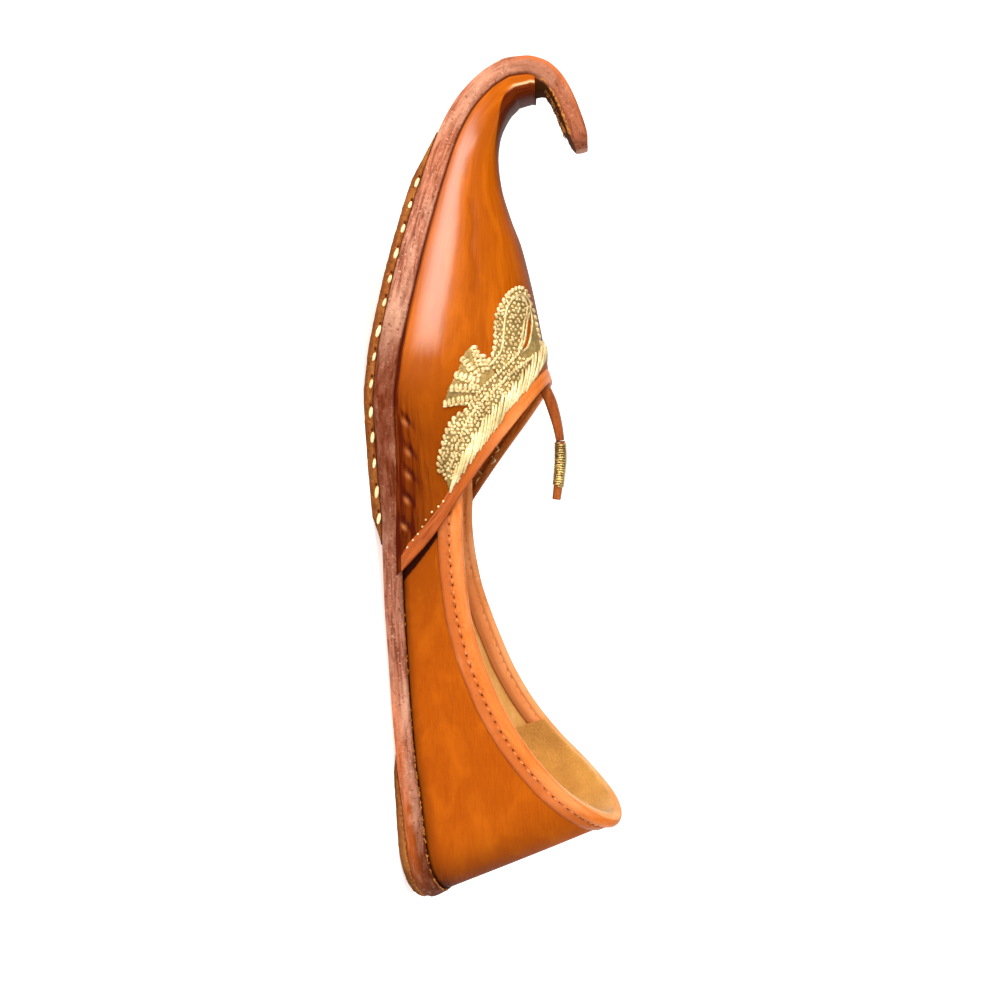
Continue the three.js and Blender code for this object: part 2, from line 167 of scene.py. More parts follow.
# Underside's middle line from the heel: x, z, half width, thickness
SOLE_ROWS = (
    (2.2, 10, 30, 6.6), (7, 7.5, 30.2, 6.6), (14, 5.2, 30.3, 6.6), (22, 3.6, 30.5, 6.6), (31, 2.9, 30.8, 6.5),
    (45, 2.2, 31, 6.4), (60, 1.2, 31, 6.3), (85, 0.7, 31.3, 6.3), (110, 0.9, 33.4, 6.4), (130, 2, 37, 6.5),
    (145, 2.9, 39.8, 6.6), (160, 2.9, 41.6, 6.7), (175, 2.9, 42, 6.8), (190, 4.6, 40.8, 7),
    (206, 8, 37.6, 7.2), (220, 11.1, 32.4, 7.3), (234, 14.3, 25, 7.3), (245, 17, 18.6, 7.2),
    (256, 20.2, 13, 7), (266.7, 24.4, 10, 6.8), (275.3, 29.7, 9.3, 6.6), (281.4, 35.6, 9.1, 6.4),
    (285.8, 42, 9, 6.2), (288.1, 48.4, 9, 6.1), (288.3, 54.2, 8.8, 6), (286.6, 60.2, 8.5, 6),
    (282.8, 64.8, 8.2, 6), (277, 68.3, 7.9, 6), (270, 71, 7.6, 6), (263, 73, 7.3, 5.9), (256.3, 74, 7, 5.7),
)


def through(at, rows):
    """Smooth curve through rows at rising places, level wherever two rows are level."""
    at = np.asarray(at, float)
    rows = np.asarray(rows, float)
    secant = np.diff(rows, axis=0) / np.diff(at)[:, None]
    before = np.vstack([secant[:1], secant])
    after = np.vstack([secant, secant[-1:]])
    agree = before * after > 0
    slope = np.where(agree, 2 * before * after / np.where(agree, before + after, 1), 0)

    def curve(value):
        v = np.clip(np.asarray(value, float), at[0], at[-1])
        i = np.clip(np.searchsorted(at, v) - 1, 0, len(at) - 2)
        span = (at[i + 1] - at[i])[..., None]
        t = (v - at[i])[..., None] / span
        p, q = rows[i], rows[i + 1]
        m, n = slope[i] * span, slope[i + 1] * span
        return p + t * (m + t * (3 * (q - p) - 2 * m - n + t * (2 * (p - q) + m + n)))

    return curve


def spine(rows):
    """Curve of a strip's rows by the run along its middle line, and the whole run."""
    rows = np.asarray(rows, float)
    run = np.concatenate([[0], np.cumsum(np.hypot(*np.diff(rows[:, :2], axis=0).T))])
    return through(run, rows), run[-1]


def follow(curve, run):
    """Points, upward normals, half widths and thicknesses of a strip at runs along it."""
    rows = curve(run)
    along = curve(np.asarray(run) + 0.5)[..., :2] - curve(np.asarray(run) - 0.5)[..., :2]
    along /= np.linalg.norm(along, axis=-1, keepdims=True)
    flat = np.zeros(rows.shape[:-1])
    point = np.stack([rows[..., 0], flat, rows[..., 1]], -1)
    normal = np.stack([-along[..., 1], flat, along[..., 0]], -1)
    return point, normal, rows[..., 2], rows[..., 3]


sole_curve, SOLE_RUN = spine(SOLE_ROWS)


def sole_at(run):
    return follow(sole_curve, run)


def end_round(distance, radius):
    """Share of the full width that a round end leaves at a distance from that end."""
    t = np.clip(np.asarray(distance) / radius, 0, 1)
    return np.sqrt(1 - (1 - t) ** ROUND_POWER)


def stations(start, end, pitch, heel):
    """Runs of sections, crowded round the heel where it is asked for."""
    begin = start + HEEL_RADIUS if heel else start
    even = np.linspace(begin, end, max(2, round((end - begin) / pitch) + 1))
    if not heel:
        return even
    angle = (np.arange(30) + 0.15) / 30 * math.pi / 2
    return np.concatenate([start + HEEL_RADIUS * (1 - np.cos(angle)), even])


def smoothstep(low, high, value):
    t = np.clip((np.asarray(value, float) - low) / (high - low), 0, 1)
    return t * t * (3 - 2 * t)


def put_mesh(name, points, faces, materials, slots=None, skin=None, marks=None):
    """A closed mesh from points in millimetres, turned the right way out, with its surface
    coordinates and the marks that its material reads at each point."""
    points = np.asarray(points, float)
    corners = points[np.array([f[:3] for f in faces])]
    volume = np.einsum("ij,ij->", corners[:, 0], np.cross(corners[:, 1], corners[:, 2]))
    quads = [f for f in faces if len(f) == 4]
    if quads:
        rest = points[np.array([(f[0], f[2], f[3]) for f in quads])]
        volume += np.einsum("ij,ij->", rest[:, 0], np.cross(rest[:, 1], rest[:, 2]))
    if volume < 0:
        faces = [tuple(reversed(f)) for f in faces]
    mesh = bpy.data.meshes.new(name)
    mesh.from_pydata(((points - (MIDDLE_X, 0, 0)) * MM).tolist(), [], faces)
    mesh.polygons.foreach_set("use_smooth", [True] * len(faces))
    for material in materials:
        mesh.materials.append(material)
    if slots is not None:
        mesh.polygons.foreach_set("material_index", np.asarray(slots, np.int32))
    skin = points if skin is None else np.asarray(skin, float)
    layer = mesh.attributes.new("skin", "FLOAT_VECTOR", "POINT")
    layer.data.foreach_set("vector", (skin * MM).astype(np.float32).ravel())
    for key, value in (marks or {}).items():
        layer = mesh.attributes.new(key, "FLOAT", "POINT")
        layer.data.foreach_set("value", np.asarray(value, np.float32).ravel())
    piece = bpy.data.objects.new(name, mesh)
    scene.collection.objects.link(piece)
    return piece


def loft_faces(count, size):
    """Faces between rings of one size, and the two ends as fans about an added point each."""
    faces = []
    for r in range(count - 1):
        for i in range(size):
            j = (i + 1) % size
            faces.append((r * size + i, r * size + j, (r + 1) * size + j, (r + 1) * size + i))
    first, last = count * size, count * size + 1
    row = (count - 1) * size
    for i in range(size):
        j = (i + 1) % size
        faces.append((first, j, i))
        faces.append((last, row + i, row + j))
    return faces


def loft(name, rings, materials, slot_of=None, skins=None, marks=None):
    """A solid from rings of points, with a material slot for each strip between neighbouring points."""
    count, size = rings.shape[:2]

    def with_ends(values):
        flat = values.reshape(count * size, -1)
        return np.vstack([flat, values[0].reshape(size, -1).mean(0), values[-1].reshape(size, -1).mean(0)])

    faces = loft_faces(count, size)
    slots = None
    if slot_of is not None:
        slots = list(slot_of) * (count - 1) + [slot_of[0]] * (2 * size)
    skins = None if skins is None else with_ends(skins)
    marks = {key: with_ends(np.broadcast_to(value, (count, size))) for key, value in (marks or {}).items()}
    return put_mesh(name, with_ends(rings), faces, materials, slots, skins, marks)


def strip_rings(run, half, low, high, edge):
    """Rings of a strip that follows the sole's line, with rounded edges and a slightly full side."""
    point, normal, _, _ = sole_at(run)
    edge = np.minimum(edge, np.minimum(half * 0.4, (high - low) * 0.45))
    rise = high - low
    flat = half - edge
    side = [(flat * share, low) for share in (0, 0.4, 0.75, 0.92, 1)]
    for turn in (25, 50, 75):
        c, s = math.cos(math.radians(turn)), math.sin(math.radians(turn))
        side.append((half - edge + edge * s, low + edge - edge * c))
    for share, full in ((0.0, 0.02), (0.3, 0.16), (0.5, 0.2), (0.7, 0.16), (1.0, 0.02)):
        side.append((half + full * edge, low + edge + (rise - 2 * edge) * share))
    for turn in (25, 50, 75):
        c, s = math.cos(math.radians(turn)), math.sin(math.radians(turn))
        side.append((half - edge + edge * c, high - edge + edge * s))
    side += [(flat * share, high) for share in (1, 0.92, 0.75, 0.4, 0)]
    side = [(np.broadcast_to(y, half.shape), np.broadcast_to(up, half.shape)) for y, up in side]
    near = [point + normal * up[:, None] + np.stack([0 * y, y, 0 * y], -1) for y, up in side]
    far = [point + normal * up[:, None] - np.stack([0 * y, y, 0 * y], -1) for y, up in side[1:-1]]
    return np.stack(near + far[::-1], 1)


STRIP_SLOTS = [1] * 4 + [0] * 11 + [2] * 10 + [0] * 11 + [1] * 4


def leather(name, shades, streak, gloss, grain):
    """Tanned leather: streaks and clouds of dye, pores and pale flecks, darker where it is burnished and
    where shade is painted, paler where it is scuffed and where highlights are painted, with a fine grain in
    relief.

    shades are burnt, deep, middle, light and, where it differs, the tint of scuffs and painted highlights;
    streak is a streak's length and width in millimetres and how softly it ends; gloss is the lowest and
    highest roughness and the reflection's level; grain is the relief's width and height in millimetres and
    the shares of pores and of flecks."""
    tints = [linear(code) for code in shades]
    burnt, deep, middle, light = tints[:4]
    material, tree, shader = start_material(name)
    skin = add(tree, "ShaderNodeAttribute", {"attribute_name": "skin"}, {}).outputs["Vector"]
    noise = {}
    for key, length, width, detail in (("streak", streak[0], streak[1], 6.0), ("cloud", 24, 9, 3.0),
                                       ("pore", 0.9, 0.9, 2.0), ("wrinkle", grain[0], grain[0], 4.0)):
        spread = add(tree, "ShaderNodeVectorMath", {"operation": "MULTIPLY"},
                     {0: skin, 1: (1000 / length, 1000 / width, 1000 / width)}).outputs[0]
        made = add(tree, "ShaderNodeTexNoise", {}, {"Vector": spread, "Scale": 1.0, "Detail": detail,
                                                    "Roughness": 0.6, "Distortion": 0.5})
        noise[key] = made.outputs["Fac"]
    colour = deep
    for key, low, high, most, tint in (("streak", 0.5 - streak[2], 0.5 + streak[2], 1.0, middle),
                                       ("cloud", 0.48, 0.75, 0.6, light),
                                       ("pore", 0.6, 0.72, grain[2], burnt),
                                       ("pore", 0.4, 0.3, grain[3], light)):
        share = add(tree, "ShaderNodeMapRange", {}, {"Value": noise[key], "From Min": low, "From Max": high,
                                                     "To Max": most}).outputs["Result"]
        colour = add(tree, "ShaderNodeMix", {"data_type": "RGBA"}, {0: share, 6: colour, 7: tint}).outputs[2]
    uneven = add(tree, "ShaderNodeMath", {"operation": "MULTIPLY_ADD"},
                 {0: noise["streak"], 1: 2.0, 2: -1.0}).outputs[0]
    # The darkening mark holds burnish and painted shade; the lightening mark holds scuffs and painted
    # highlights
    for mark, tint in (("burnish_and_shade", burnt), ("scuff_and_highlight", tints[-1])):
        amount = add(tree, "ShaderNodeAttribute", {"attribute_name": mark}, {}).outputs["Fac"]
        share = add(tree, "ShaderNodeMath", {"operation": "MULTIPLY_ADD", "use_clamp": True},
                    {0: uneven, 1: amount, 2: amount}).outputs[0]
        colour = add(tree, "ShaderNodeMix", {"data_type": "RGBA"}, {0: share, 6: colour, 7: tint}).outputs[2]
    tree.links.new(colour, shader.inputs["Base Color"])
    rough = add(tree, "ShaderNodeMapRange", {}, {"Value": noise["wrinkle"], "From Min": 0.3, "From Max": 0.7,
                                                 "To Min": gloss[0], "To Max": gloss[1]})
    tree.links.new(rough.outputs["Result"], shader.inputs["Roughness"])
    relief = add(tree, "ShaderNodeBump", {}, {"Height": noise["wrinkle"], "Distance": grain[1] * MM})
    lines = add(tree, "ShaderNodeBump", {}, {"Height": noise["streak"], "Distance": 0.1 * MM,
                                             "Strength": 0.5, "Normal": relief.outputs["Normal"]})
    tree.links.new(lines.outputs["Normal"], shader.inputs["Normal"])
    shader.inputs["IOR"].default_value = 1.45
    shader.inputs["Specular IOR Level"].default_value = gloss[2]
    return material


# Dyed sole edge: mauve tan fibres pressed into layers, orange on the curl's rim, brown where it is worn, with
# fibres drawn about twice their width so that they show
sole_edge = leather("sole_edge_leather", ("#5A2204", "#74402E", "#AC7058", "#DCAE92", "#C2601E"),
                    (9, 0.9, 0.1), (0.55, 0.8, 0.08), (0.8, 0.4, 0.85, 0.5))
# Grain side of the sole: smooth tan with a waxed shine
sole_grain = leather("sole_grain_leather", ("#6A3008", "#9C5630", "#B46A42", "#CC8A60"), (30, 3, 0.14),
                     (0.4, 0.6, 0.3), (1.2, 0.1, 0.4, 0.1))
# Flesh side of the sole: dark brown short fibres without any shine
sole_flesh = leather("sole_flesh_leather", ("#1C0600", "#421604", "#5E2608", "#9A5A20"), (6, 1.2, 0.14),
                     (0.8, 0.95, 0.05), (0.9, 0.5, 0.7, 0.5))

HEEL_TRIM = 1.6
CURL_END = SOLE_RUN - 2.2
BEND_RUN = 314
BEND_HEAP = 5.5
CURL_NAP = 1.3
run = stations(HEEL_TRIM, CURL_END, 1.6, True)
point, normal, half, thick = sole_at(run)
tip = TIP_SHARE + (1 - TIP_SHARE) * end_round(CURL_END - run, TIP_ROUND)
worn_tip = smoothstep(CURL_END - 4, CURL_END, run)
rings = strip_rings(run, half * end_round(run - HEEL_TRIM, HEEL_RADIUS) * tip, 0.1 * thick * worn_tip,
                    thick * (1 - 0.2 * worn_tip), 1.3)
at = run[:, None]
level = np.einsum("rpk,rk->rp", rings - point[:, None], normal) / thick[:, None]
# The flesh side is pushed up where the strip is bent over the beak, and its nap stands along the curl
heap = BEND_HEAP * np.exp(-((at - BEND_RUN) / 5.5) ** 2)
heap = np.maximum(heap, CURL_NAP * smoothstep(310, 316, at) * smoothstep(343, 335, at))
heap = heap * (level > 0.98) * np.clip(1.25 - 1.4 * (rings[..., 1] / half[:, None]) ** 2, 0, 1)
rings = rings + normal[:, None, :] * heap[..., None]
skins = np.stack([at + 0 * level, np.abs(rings[..., 1]) - half[:, None], level * thick[:, None]], -1)
ball = smoothstep(214, 182, at) * smoothstep(112, 152, at)
waist = smoothstep(60, 90, at) * smoothstep(150, 120, at)
heel_wear = smoothstep(64, 14, at)
heel_rub = smoothstep(100, 62, at) * smoothstep(6, 30, at) * smoothstep(0.75, 0.3, level)
heel_foot = smoothstep(90, 30, at) * smoothstep(0.8, 0.2, level)
# Painted shade: a dark line along the sole's top edge, where the upper meets it
groove_shade = smoothstep(0.93, 0.98, level)
rim = smoothstep(0.4, 0.1, level) * (0.06 * smoothstep(222, 250, at) + 0.4 * smoothstep(298, 310, at)
                                     * smoothstep(336, 322, at))
curl_dye = 0.4 * smoothstep(292, 312, at)
# Trodden fibres lie in uneven dark and pale dashes at the heel and the ball
dashes = np.random.default_rng(5).uniform(-1, 1, level.shape)
dashes = (dashes + np.roll(dashes, 1, 0) + np.roll(dashes, 2, 0)) / 1.8
# The sole's darkening holds wear, and painted shade along its top edge
sole_burnish_and_shade = 0.7 * ball + 0.12 * waist + 0.95 * heel_wear + 0.3 * heel_foot + curl_dye + 0.85 * groove_shade
sole_burnish_and_shade = sole_burnish_and_shade + dashes * (0.3 * ball + 0.4 * heel_foot + 0.3 * heel_wear) * (1 - groove_shade)
sole_marks = {"burnish_and_shade": np.clip(sole_burnish_and_shade, 0, 1),
              "scuff_and_highlight": rim + 0.12 * smoothstep(236, 262, at) + 0.42 * heel_rub}
sole = loft("curled_sole", rings, [sole_edge, sole_grain, sole_flesh], STRIP_SLOTS, skins, sole_marks)
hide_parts("sole")
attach(sole, "root")

# Half sole and heel lift
# Thin layers of worn leather under the ball and the heel, which meet the floor. The half sole is sewn through
# the sole's edge with a waxed cotton cord, and both have rough, frayed edges.
GAP = 0.3
HALF_SOLE_THICK = 2.6
HALF_SOLE_FROM = 131
HALF_SOLE_TO = 267
HALF_SOLE_INSET = 0.3
LIFT_THICK = 2.6
LIFT_TO = 61
LIFT_INSET = 1.2


def under_layer(name, start, end, thickness, inset, heel, thinned, worn, materials):
    """A layer that fills below the sole down to its thickness or to the floor, whichever comes first, and
    that is thinned out over a length at its front and at its rear; worn is how dark its outer rim is."""
    at = stations(start, end, 1.5, heel)
    point, normal, wide, _ = sole_at(at)
    share = end_round(at - start, HEEL_RADIUS) if heel else np.ones(len(at))
    skived = smoothstep(-0.15, 1, (end - at) / thinned[0]) * smoothstep(-0.15, 1, (at - start) / thinned[1])
    low = -0.05 - skived * np.minimum(thickness + GAP - 0.05, point[:, 2] / normal[:, 2] - 0.05)
    ragged = (0.35 * np.sin(at * 0.9) * np.sin(at * 0.37 + 1) + 0.2 * np.sin(at * 2.3)) * skived
    shape = strip_rings(at, (wide - inset) * share + ragged * share, low, low * 0 - 0.05, 0.6)
    rim = smoothstep(0.75, 0.35, (shape[..., 2] - point[:, None, 2]) / low[:, None])
    return loft(name, shape, materials, STRIP_SLOTS, None, {"burnish_and_shade": worn * (1 - rim)})


# Worn under leather: brown, dry and matt, with pale scuffed fibres
under_leather = leather("worn_under_leather", ("#3A1604", "#6E3A14", "#8E5022", "#B87A3E"), (9, 0.8, 0.12),
                        (0.65, 0.9, 0.08), (0.7, 0.4, 0.8, 0.6))
half_sole = under_layer("sewn_half_sole", HALF_SOLE_FROM, HALF_SOLE_TO, HALF_SOLE_THICK, HALF_SOLE_INSET,
                        False, (22, 10), 0.4, [under_leather] * 3)
heel_lift = under_layer("worn_heel_lift", HEEL_TRIM + LIFT_INSET, LIFT_TO, LIFT_THICK, LIFT_INSET,
                        True, (7, 1.0), 0.5, [under_leather] * 3)
for piece, node in ((half_sole, "half_sole"), (heel_lift, "heel_lift")):
    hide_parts(node)
    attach(piece, "root")

STITCH_PITCH = 8.3
STITCH_LENGTH = 3.7
STITCH_WIDE = 1.2
STITCH_FROM = 140
STITCH_TO = 248
STITCH_HOLE = (1.1, 0.8, 0.6)
FIBRE_WIDE = 0.24
# Runs of loose fibres from and to, how many, their level on the edge, the longest one and their share of the
# way from the middle to the edge
FIBRE_ROWS = ((3, 62, 80, 1.0, 1.2, 1), (62, 126, 24, 1.0, 1.1, 1), (8, 44, 70, -0.05, 1.0, 1),
              (4, 34, 60, 0.75, 0.8, 1), (4, 30, 60, 0.5, 0.8, 1), (4, 26, 50, 0.3, 0.8, 1),
              (317, 341, 70, 0.98, 1.5, 1), (317, 339, 70, 1.15, 1.3, 0.6), (317, 338, 60, 1.2, 1.3, 0.4))


def grow(name, points, edges, layers, nodes_of, values, material):
    """A piece that a node tree makes from points or paths: built, evaluated and kept as a plain mesh."""
    source = bpy.data.meshes.new(name + "_source")
    source.from_pydata(((np.asarray(points) - (MIDDLE_X, 0, 0)) * MM).tolist(), edges, [])
    for key, (kind, field, value) in layers.items():
        layer = source.attributes.new(key, kind, "POINT")
        layer.data.foreach_set(field, np.asarray(value, np.float32).ravel())
    holder = bpy.data.objects.new(name + "_source", source)
    scene.collection.objects.link(holder)
    modifier = holder.modifiers.new("grow", "NODES")
    tree = bpy.data.node_groups.new(name, "GeometryNodeTree")
    tree.interface.new_socket("Geometry", in_out="INPUT", socket_type="NodeSocketGeometry")
    sockets = {}
    for key in values:
        sockets[key] = tree.interface.new_socket(key, in_out="INPUT", socket_type="NodeSocketFloat")
    tree.interface.new_socket("Geometry", in_out="OUTPUT", socket_type="NodeSocketGeometry")
    entry = add(tree, "NodeGroupInput", {}, {})
    shape = nodes_of(tree, entry)
    whole = add(tree, "GeometryNodeRealizeInstances", {}, {"Geometry": shape})
    even = add(tree, "GeometryNodeSetShadeSmooth", {}, {"Geometry": whole.outputs[0]})
    dyed = add(tree, "GeometryNodeSetMaterial", {}, {"Geometry": even.outputs[0], "Material": material})
    add(tree, "NodeGroupOutput", {}, {"Geometry": dyed.outputs[0]})
    modifier.node_group = tree
    for key, value in values.items():
        modifier[sockets[key].identifier] = value
    graph = bpy.context.evaluated_depsgraph_get()
    mesh = bpy.data.meshes.new_from_object(holder.evaluated_get(graph))
    mesh.name = name
    holder.modifiers.remove(modifier)
    bpy.data.objects.remove(holder)
    piece = bpy.data.objects.new(name, mesh)
    scene.collection.objects.link(piece)
    return piece


def grains(name, points, facing, heading, sizes, material):
    """Small rounded lumps, each turned to face away from its ground and to head along its thread."""

    def nodes_of(tree, entry):
        vectors = {}
        for key in ("facing", "heading", "size"):
            read = add(tree, "GeometryNodeInputNamedAttribute", {"data_type": "FLOAT_VECTOR"}, {"Name": key})
            vectors[key] = read.outputs[0]
        turn = add(tree, "FunctionNodeAxesToRotation", {"primary_axis": "Z", "secondary_axis": "X"},
                   {"Primary Axis": vectors["facing"], "Secondary Axis": vectors["heading"]})
        lump = add(tree, "GeometryNodeMeshUVSphere", {}, {"Segments": 8, "Rings": 5,
                                                          "Radius": entry.outputs["Radius"]})
        return add(tree, "GeometryNodeInstanceOnPoints", {},
                   {"Points": entry.outputs["Geometry"], "Instance": lump.outputs["Mesh"],
                    "Rotation": turn.outputs[0], "Scale": vectors["size"]}).outputs[0]

    layers = {"facing": ("FLOAT_VECTOR", "vector", facing), "heading": ("FLOAT_VECTOR", "vector", heading),
              "size": ("FLOAT_VECTOR", "vector", sizes)}
    return grow(name, points, [], layers, nodes_of, {"Radius": 0.5 * MM}, material)


# Waxed cotton cord: cream, dull, with patches of darker dirt and its plies in relief
def cotton_cord(name, pale, dirty):
    material, tree, shader = start_material(name)
    spot = add(tree, "ShaderNodeTexCoord", {}, {}).outputs["Object"]
    ply = add(tree, "ShaderNodeTexNoise", {}, {"Vector": spot, "Scale": 1000 / 0.6, "Detail": 3.0})
    soil = add(tree, "ShaderNodeTexNoise", {}, {"Vector": spot, "Scale": 1000 / 7, "Detail": 2.0})
    share = add(tree, "ShaderNodeMapRange", {},
                {"Value": soil.outputs["Fac"], "From Min": 0.4, "From Max": 0.75})
    tint = add(tree, "ShaderNodeMix", {"data_type": "RGBA"},
               {0: share.outputs["Result"], 6: linear(pale), 7: linear(dirty)})
    tree.links.new(tint.outputs[2], shader.inputs["Base Color"])
    relief = add(tree, "ShaderNodeBump", {}, {"Height": ply.outputs["Fac"], "Distance": 0.2 * MM})
    tree.links.new(relief.outputs["Normal"], shader.inputs["Normal"])
    shader.inputs["Roughness"].default_value = 0.7
    return material


sole_cord = cotton_cord("waxed_cotton_cord", "#F0DCA8", "#C89C5C")
# Stitch hole: dark leather fibres pushed in, coloured darker still as painted shade inside the hole
hole_shade_leather = leather("pierced_leather_hole_shade", ("#2A0A00", "#4A1A06", "#5C2A0E", "#70401C"), (3, 0.6, 0.14),
                       (0.8, 0.95, 0.05), (0.5, 0.2, 0.5, 0.0))
at = np.arange(STITCH_FROM, STITCH_TO, STITCH_PITCH)
dice = np.random.default_rng(3)
at += dice.uniform(-0.6, 0.6, len(at))
spots, headings, facings = [], [], []
for side, ahead_of in ((1, 0), (-1, 0), (1, 2.5), (-1, 2.5)):
    point, normal, wide, _ = sole_at(at + ahead_of)
    ahead = sole_at(at + ahead_of + 1)[0] - sole_at(at + ahead_of - 1)[0]
    ahead[:, 1] = side * (sole_at(at + ahead_of + 1)[2] - sole_at(at + ahead_of - 1)[2])
    across = np.stack([0 * wide, side * (wide - 0.1), 0 * wide], -1)
    spots.append(point - normal * 0.6 + across)
    headings.append(ahead + normal * 0.35)
    facings.append(np.broadcast_to((0, side, 0), point.shape))
count = len(at) * 2
size = np.tile((STITCH_LENGTH, STITCH_WIDE, 1.1), (count, 1)) * dice.uniform(0.8, 1.15, (count, 1))
stitches = grains("sole_stitches", np.vstack(spots[:2]), np.vstack(facings[:2]), np.vstack(headings[:2]),
                  size, sole_cord)
holes = grains("sole_stitch_holes", np.vstack(spots[2:]), np.vstack(facings[2:]), np.vstack(headings[2:]),
               np.tile(STITCH_HOLE, (count, 1)), hole_shade_leather)

# Loose fibres: pale tan hairs of leather that stand out of the cut edges at the heel, the waist and the curl
fibre_leather = leather("frayed_fibres", ("#6A340C", "#A8662C", "#C48A48", "#E0B478"), (2, 0.5, 0.14),
                        (0.7, 0.9, 0.05), (0.5, 0.1, 0.5, 0.2))
spots, headings, facings, sizes = [], [], [], []
for first, last, rows, level, longest, outward in FIBRE_ROWS:
    at = np.sort(dice.uniform(first, last, rows))
    point, normal, wide, thick = sole_at(at)
    half = (wide * end_round(at - HEEL_TRIM, HEEL_RADIUS) - 0.35) * outward
    rise = level * thick + dice.uniform(-0.35, 0.25, rows)
    lean = dice.normal(0, 0.35, (rows, 3))
    wider, narrower = (end_round(at + step - HEEL_TRIM, HEEL_RADIUS) * wide for step in (0.8, -0.8))
    spread = wider - narrower
    ahead = sole_at(at + 0.8)[0] - sole_at(at - 0.8)[0]
    for side in (1, -1):
        spots.append(point + normal * rise[:, None] + np.stack([0 * half, side * half, 0 * half], -1))
        headings.append(ahead + np.stack([0 * half, side * spread, 0 * half], -1) + lean)
        facings.append(np.broadcast_to((0, side, 0), point.shape))
        length = longest * dice.uniform(0.5, 1, rows)
        sizes.append(np.stack([length, 0 * length + FIBRE_WIDE, 0 * length + FIBRE_WIDE], -1))
fibres = grains("frayed_fibres", np.vstack(spots), np.vstack(facings), np.vstack(headings), np.vstack(sizes),
                fibre_leather)
for piece in (stitches, holes, fibres):
    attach(piece, "root")

# Insole
# A thin sheet of pale lining leather glued on the sole inside the shoe.
INSOLE_THICK = 2
INSOLE_INSET = 5.2
INSOLE_TO = 240
# Insole leather: yellow cream, soft and matt, browner where the foot has rubbed
insole_leather = leather("cream_insole_leather", ("#A06A2C", "#DCA456", "#EAB86C", "#F6D296"), (20, 6, 0.14),
                         (0.55, 0.75, 0.1), (1.0, 0.15, 0.3, 0.2))
at = stations(INSOLE_INSET + 1, INSOLE_TO, 2.5, True)
_, _, wide, thick = sole_at(at)
half = (wide - INSOLE_INSET) * end_round(at - INSOLE_INSET - 1, HEEL_RADIUS - INSOLE_INSET)
rings = strip_rings(at, half, thick + 0.1, thick + INSOLE_THICK, 0.5)
insole = loft("inner_sole", rings, [insole_leather] * 3, STRIP_SLOTS)
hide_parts("insole")
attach(insole, "root")

# Upper
# Two sheets of tan leather: the vamp over the forefoot, drawn out into a beak under the curl, and the quarter
# round the heel, whose front goes under the vamp. Both are lined and sewn to the sole.
QUARTER_INSET = 2
VAMP_INSET = 0.4
QUARTER_WALL = 1.8
FOOT_LAP_OUT = 0.9
FOOT_LAP_DOWN = 1.9
BEAK_END = 312.5
# Run, lean in degrees, height, and the arch's flare, rise and crown
QUARTER_ROWS = (
    (0, -21, 108, 1.05, 0.5, 0.9), (29, -19, 100, 1.06, 0.5, 0.9), (60, -13, 80, 1.08, 0.5, 0.92),
    (90, -6, 64, 1.08, 0.5, 0.9), (120, 0, 56, 1.04, 0.52, 0.7), (150, 0, 51.5, 1, 0.55, 0.52),
    (172, 0, 48.5, 1, 0.55, 0.5),
)
VAMP_ROWS = (
    (100, 0, 60, 1.05, 0.52, 0.75), (120, 0, 56, 1.04, 0.52, 0.7), (150, 0, 51.5, 1, 0.55, 0.52),
    (172, 0, 48.5, 1, 0.55, 0.5), (191, 1, 43.8, 1, 0.55, 0.5), (207, 4, 38.4, 1, 0.55, 0.5),
    (222, 8, 33.2, 1, 0.55, 0.5), (236, 13, 28, 1, 0.56, 0.5), (247, 19, 23, 1, 0.58, 0.52),
    (259, 27, 18, 1, 0.6, 0.58), (271, 36, 14, 1, 0.65, 0.72), (281, 47, 11.4, 1, 0.75, 0.86),
    (290, 59, 9.4, 1, 0.82, 0.92), (298, 71, 8, 1, 0.85, 0.94), (305, 82, 7, 1, 0.85, 0.94),
    (313, 97, 6, 1, 0.85, 0.94),
)
# Edges seen from the side: x, z
COLLAR_LINE = (
    (-12, 114.8), (12, 92.2), (26, 79), (38, 65.6), (51, 52.6), (66, 42), (80.6, 35), (96, 30.2),
    (110.5, 27.8), (128, 27.2), (145.5, 28), (200, 28),
)
MOUTH_LINE = (
    (117.5, 3), (121.8, 7.5), (133.5, 19), (145.5, 28), (152.3, 33.2), (160, 39.4), (168.5, 46.6),
    (181.5, 57.4), (194, 68),
)
quarter_curve = through([r[0] for r in QUARTER_ROWS], [r[1:] for r in QUARTER_ROWS])
vamp_curve = through([r[0] for r in VAMP_ROWS], [r[1:] for r in VAMP_ROWS])
collar_height = through([p[0] for p in COLLAR_LINE], [p[1:] for p in COLLAR_LINE])
mouth_place = through([p[1] for p in MOUTH_LINE], [p[:1] for p in MOUTH_LINE])


def arch(rows, run, t, half, height):
    """Points on an arch that stands on the sole's top: t is 0 at its foot and 1 at its crown."""
    point, normal, _, thick = sole_at(run)
    base = point + normal * (thick + 0.12)[..., None]
    lean, _, flare, rise, crown = np.moveaxis(rows, -1, 0)
    s = 1 - t
    y = half * (s ** 3 + 3 * flare * s * s * t + 3 * crown * s * t * t)
    up = height * (3 * rise * s * s * t + 3 * s * t * t + t ** 3)
    lean = np.radians(lean)
    return base + np.stack([-up * np.sin(lean), y, up * np.cos(lean)], -1)


def vamp_point(run, t, grow):
    """The vamp by the run and the share of the arch; its foot laps down over the sole's edge at the rear."""
    rows = vamp_curve(run)
    lap = smoothstep(170, 132, run) * smoothstep(0.07, 0.0, t)
    point = arch(rows, run, t, sole_at(run)[2] - VAMP_INSET + grow, rows[..., 1] + grow)
    return point + np.stack([0 * lap, FOOT_LAP_OUT * lap, -FOOT_LAP_DOWN * lap], -1)


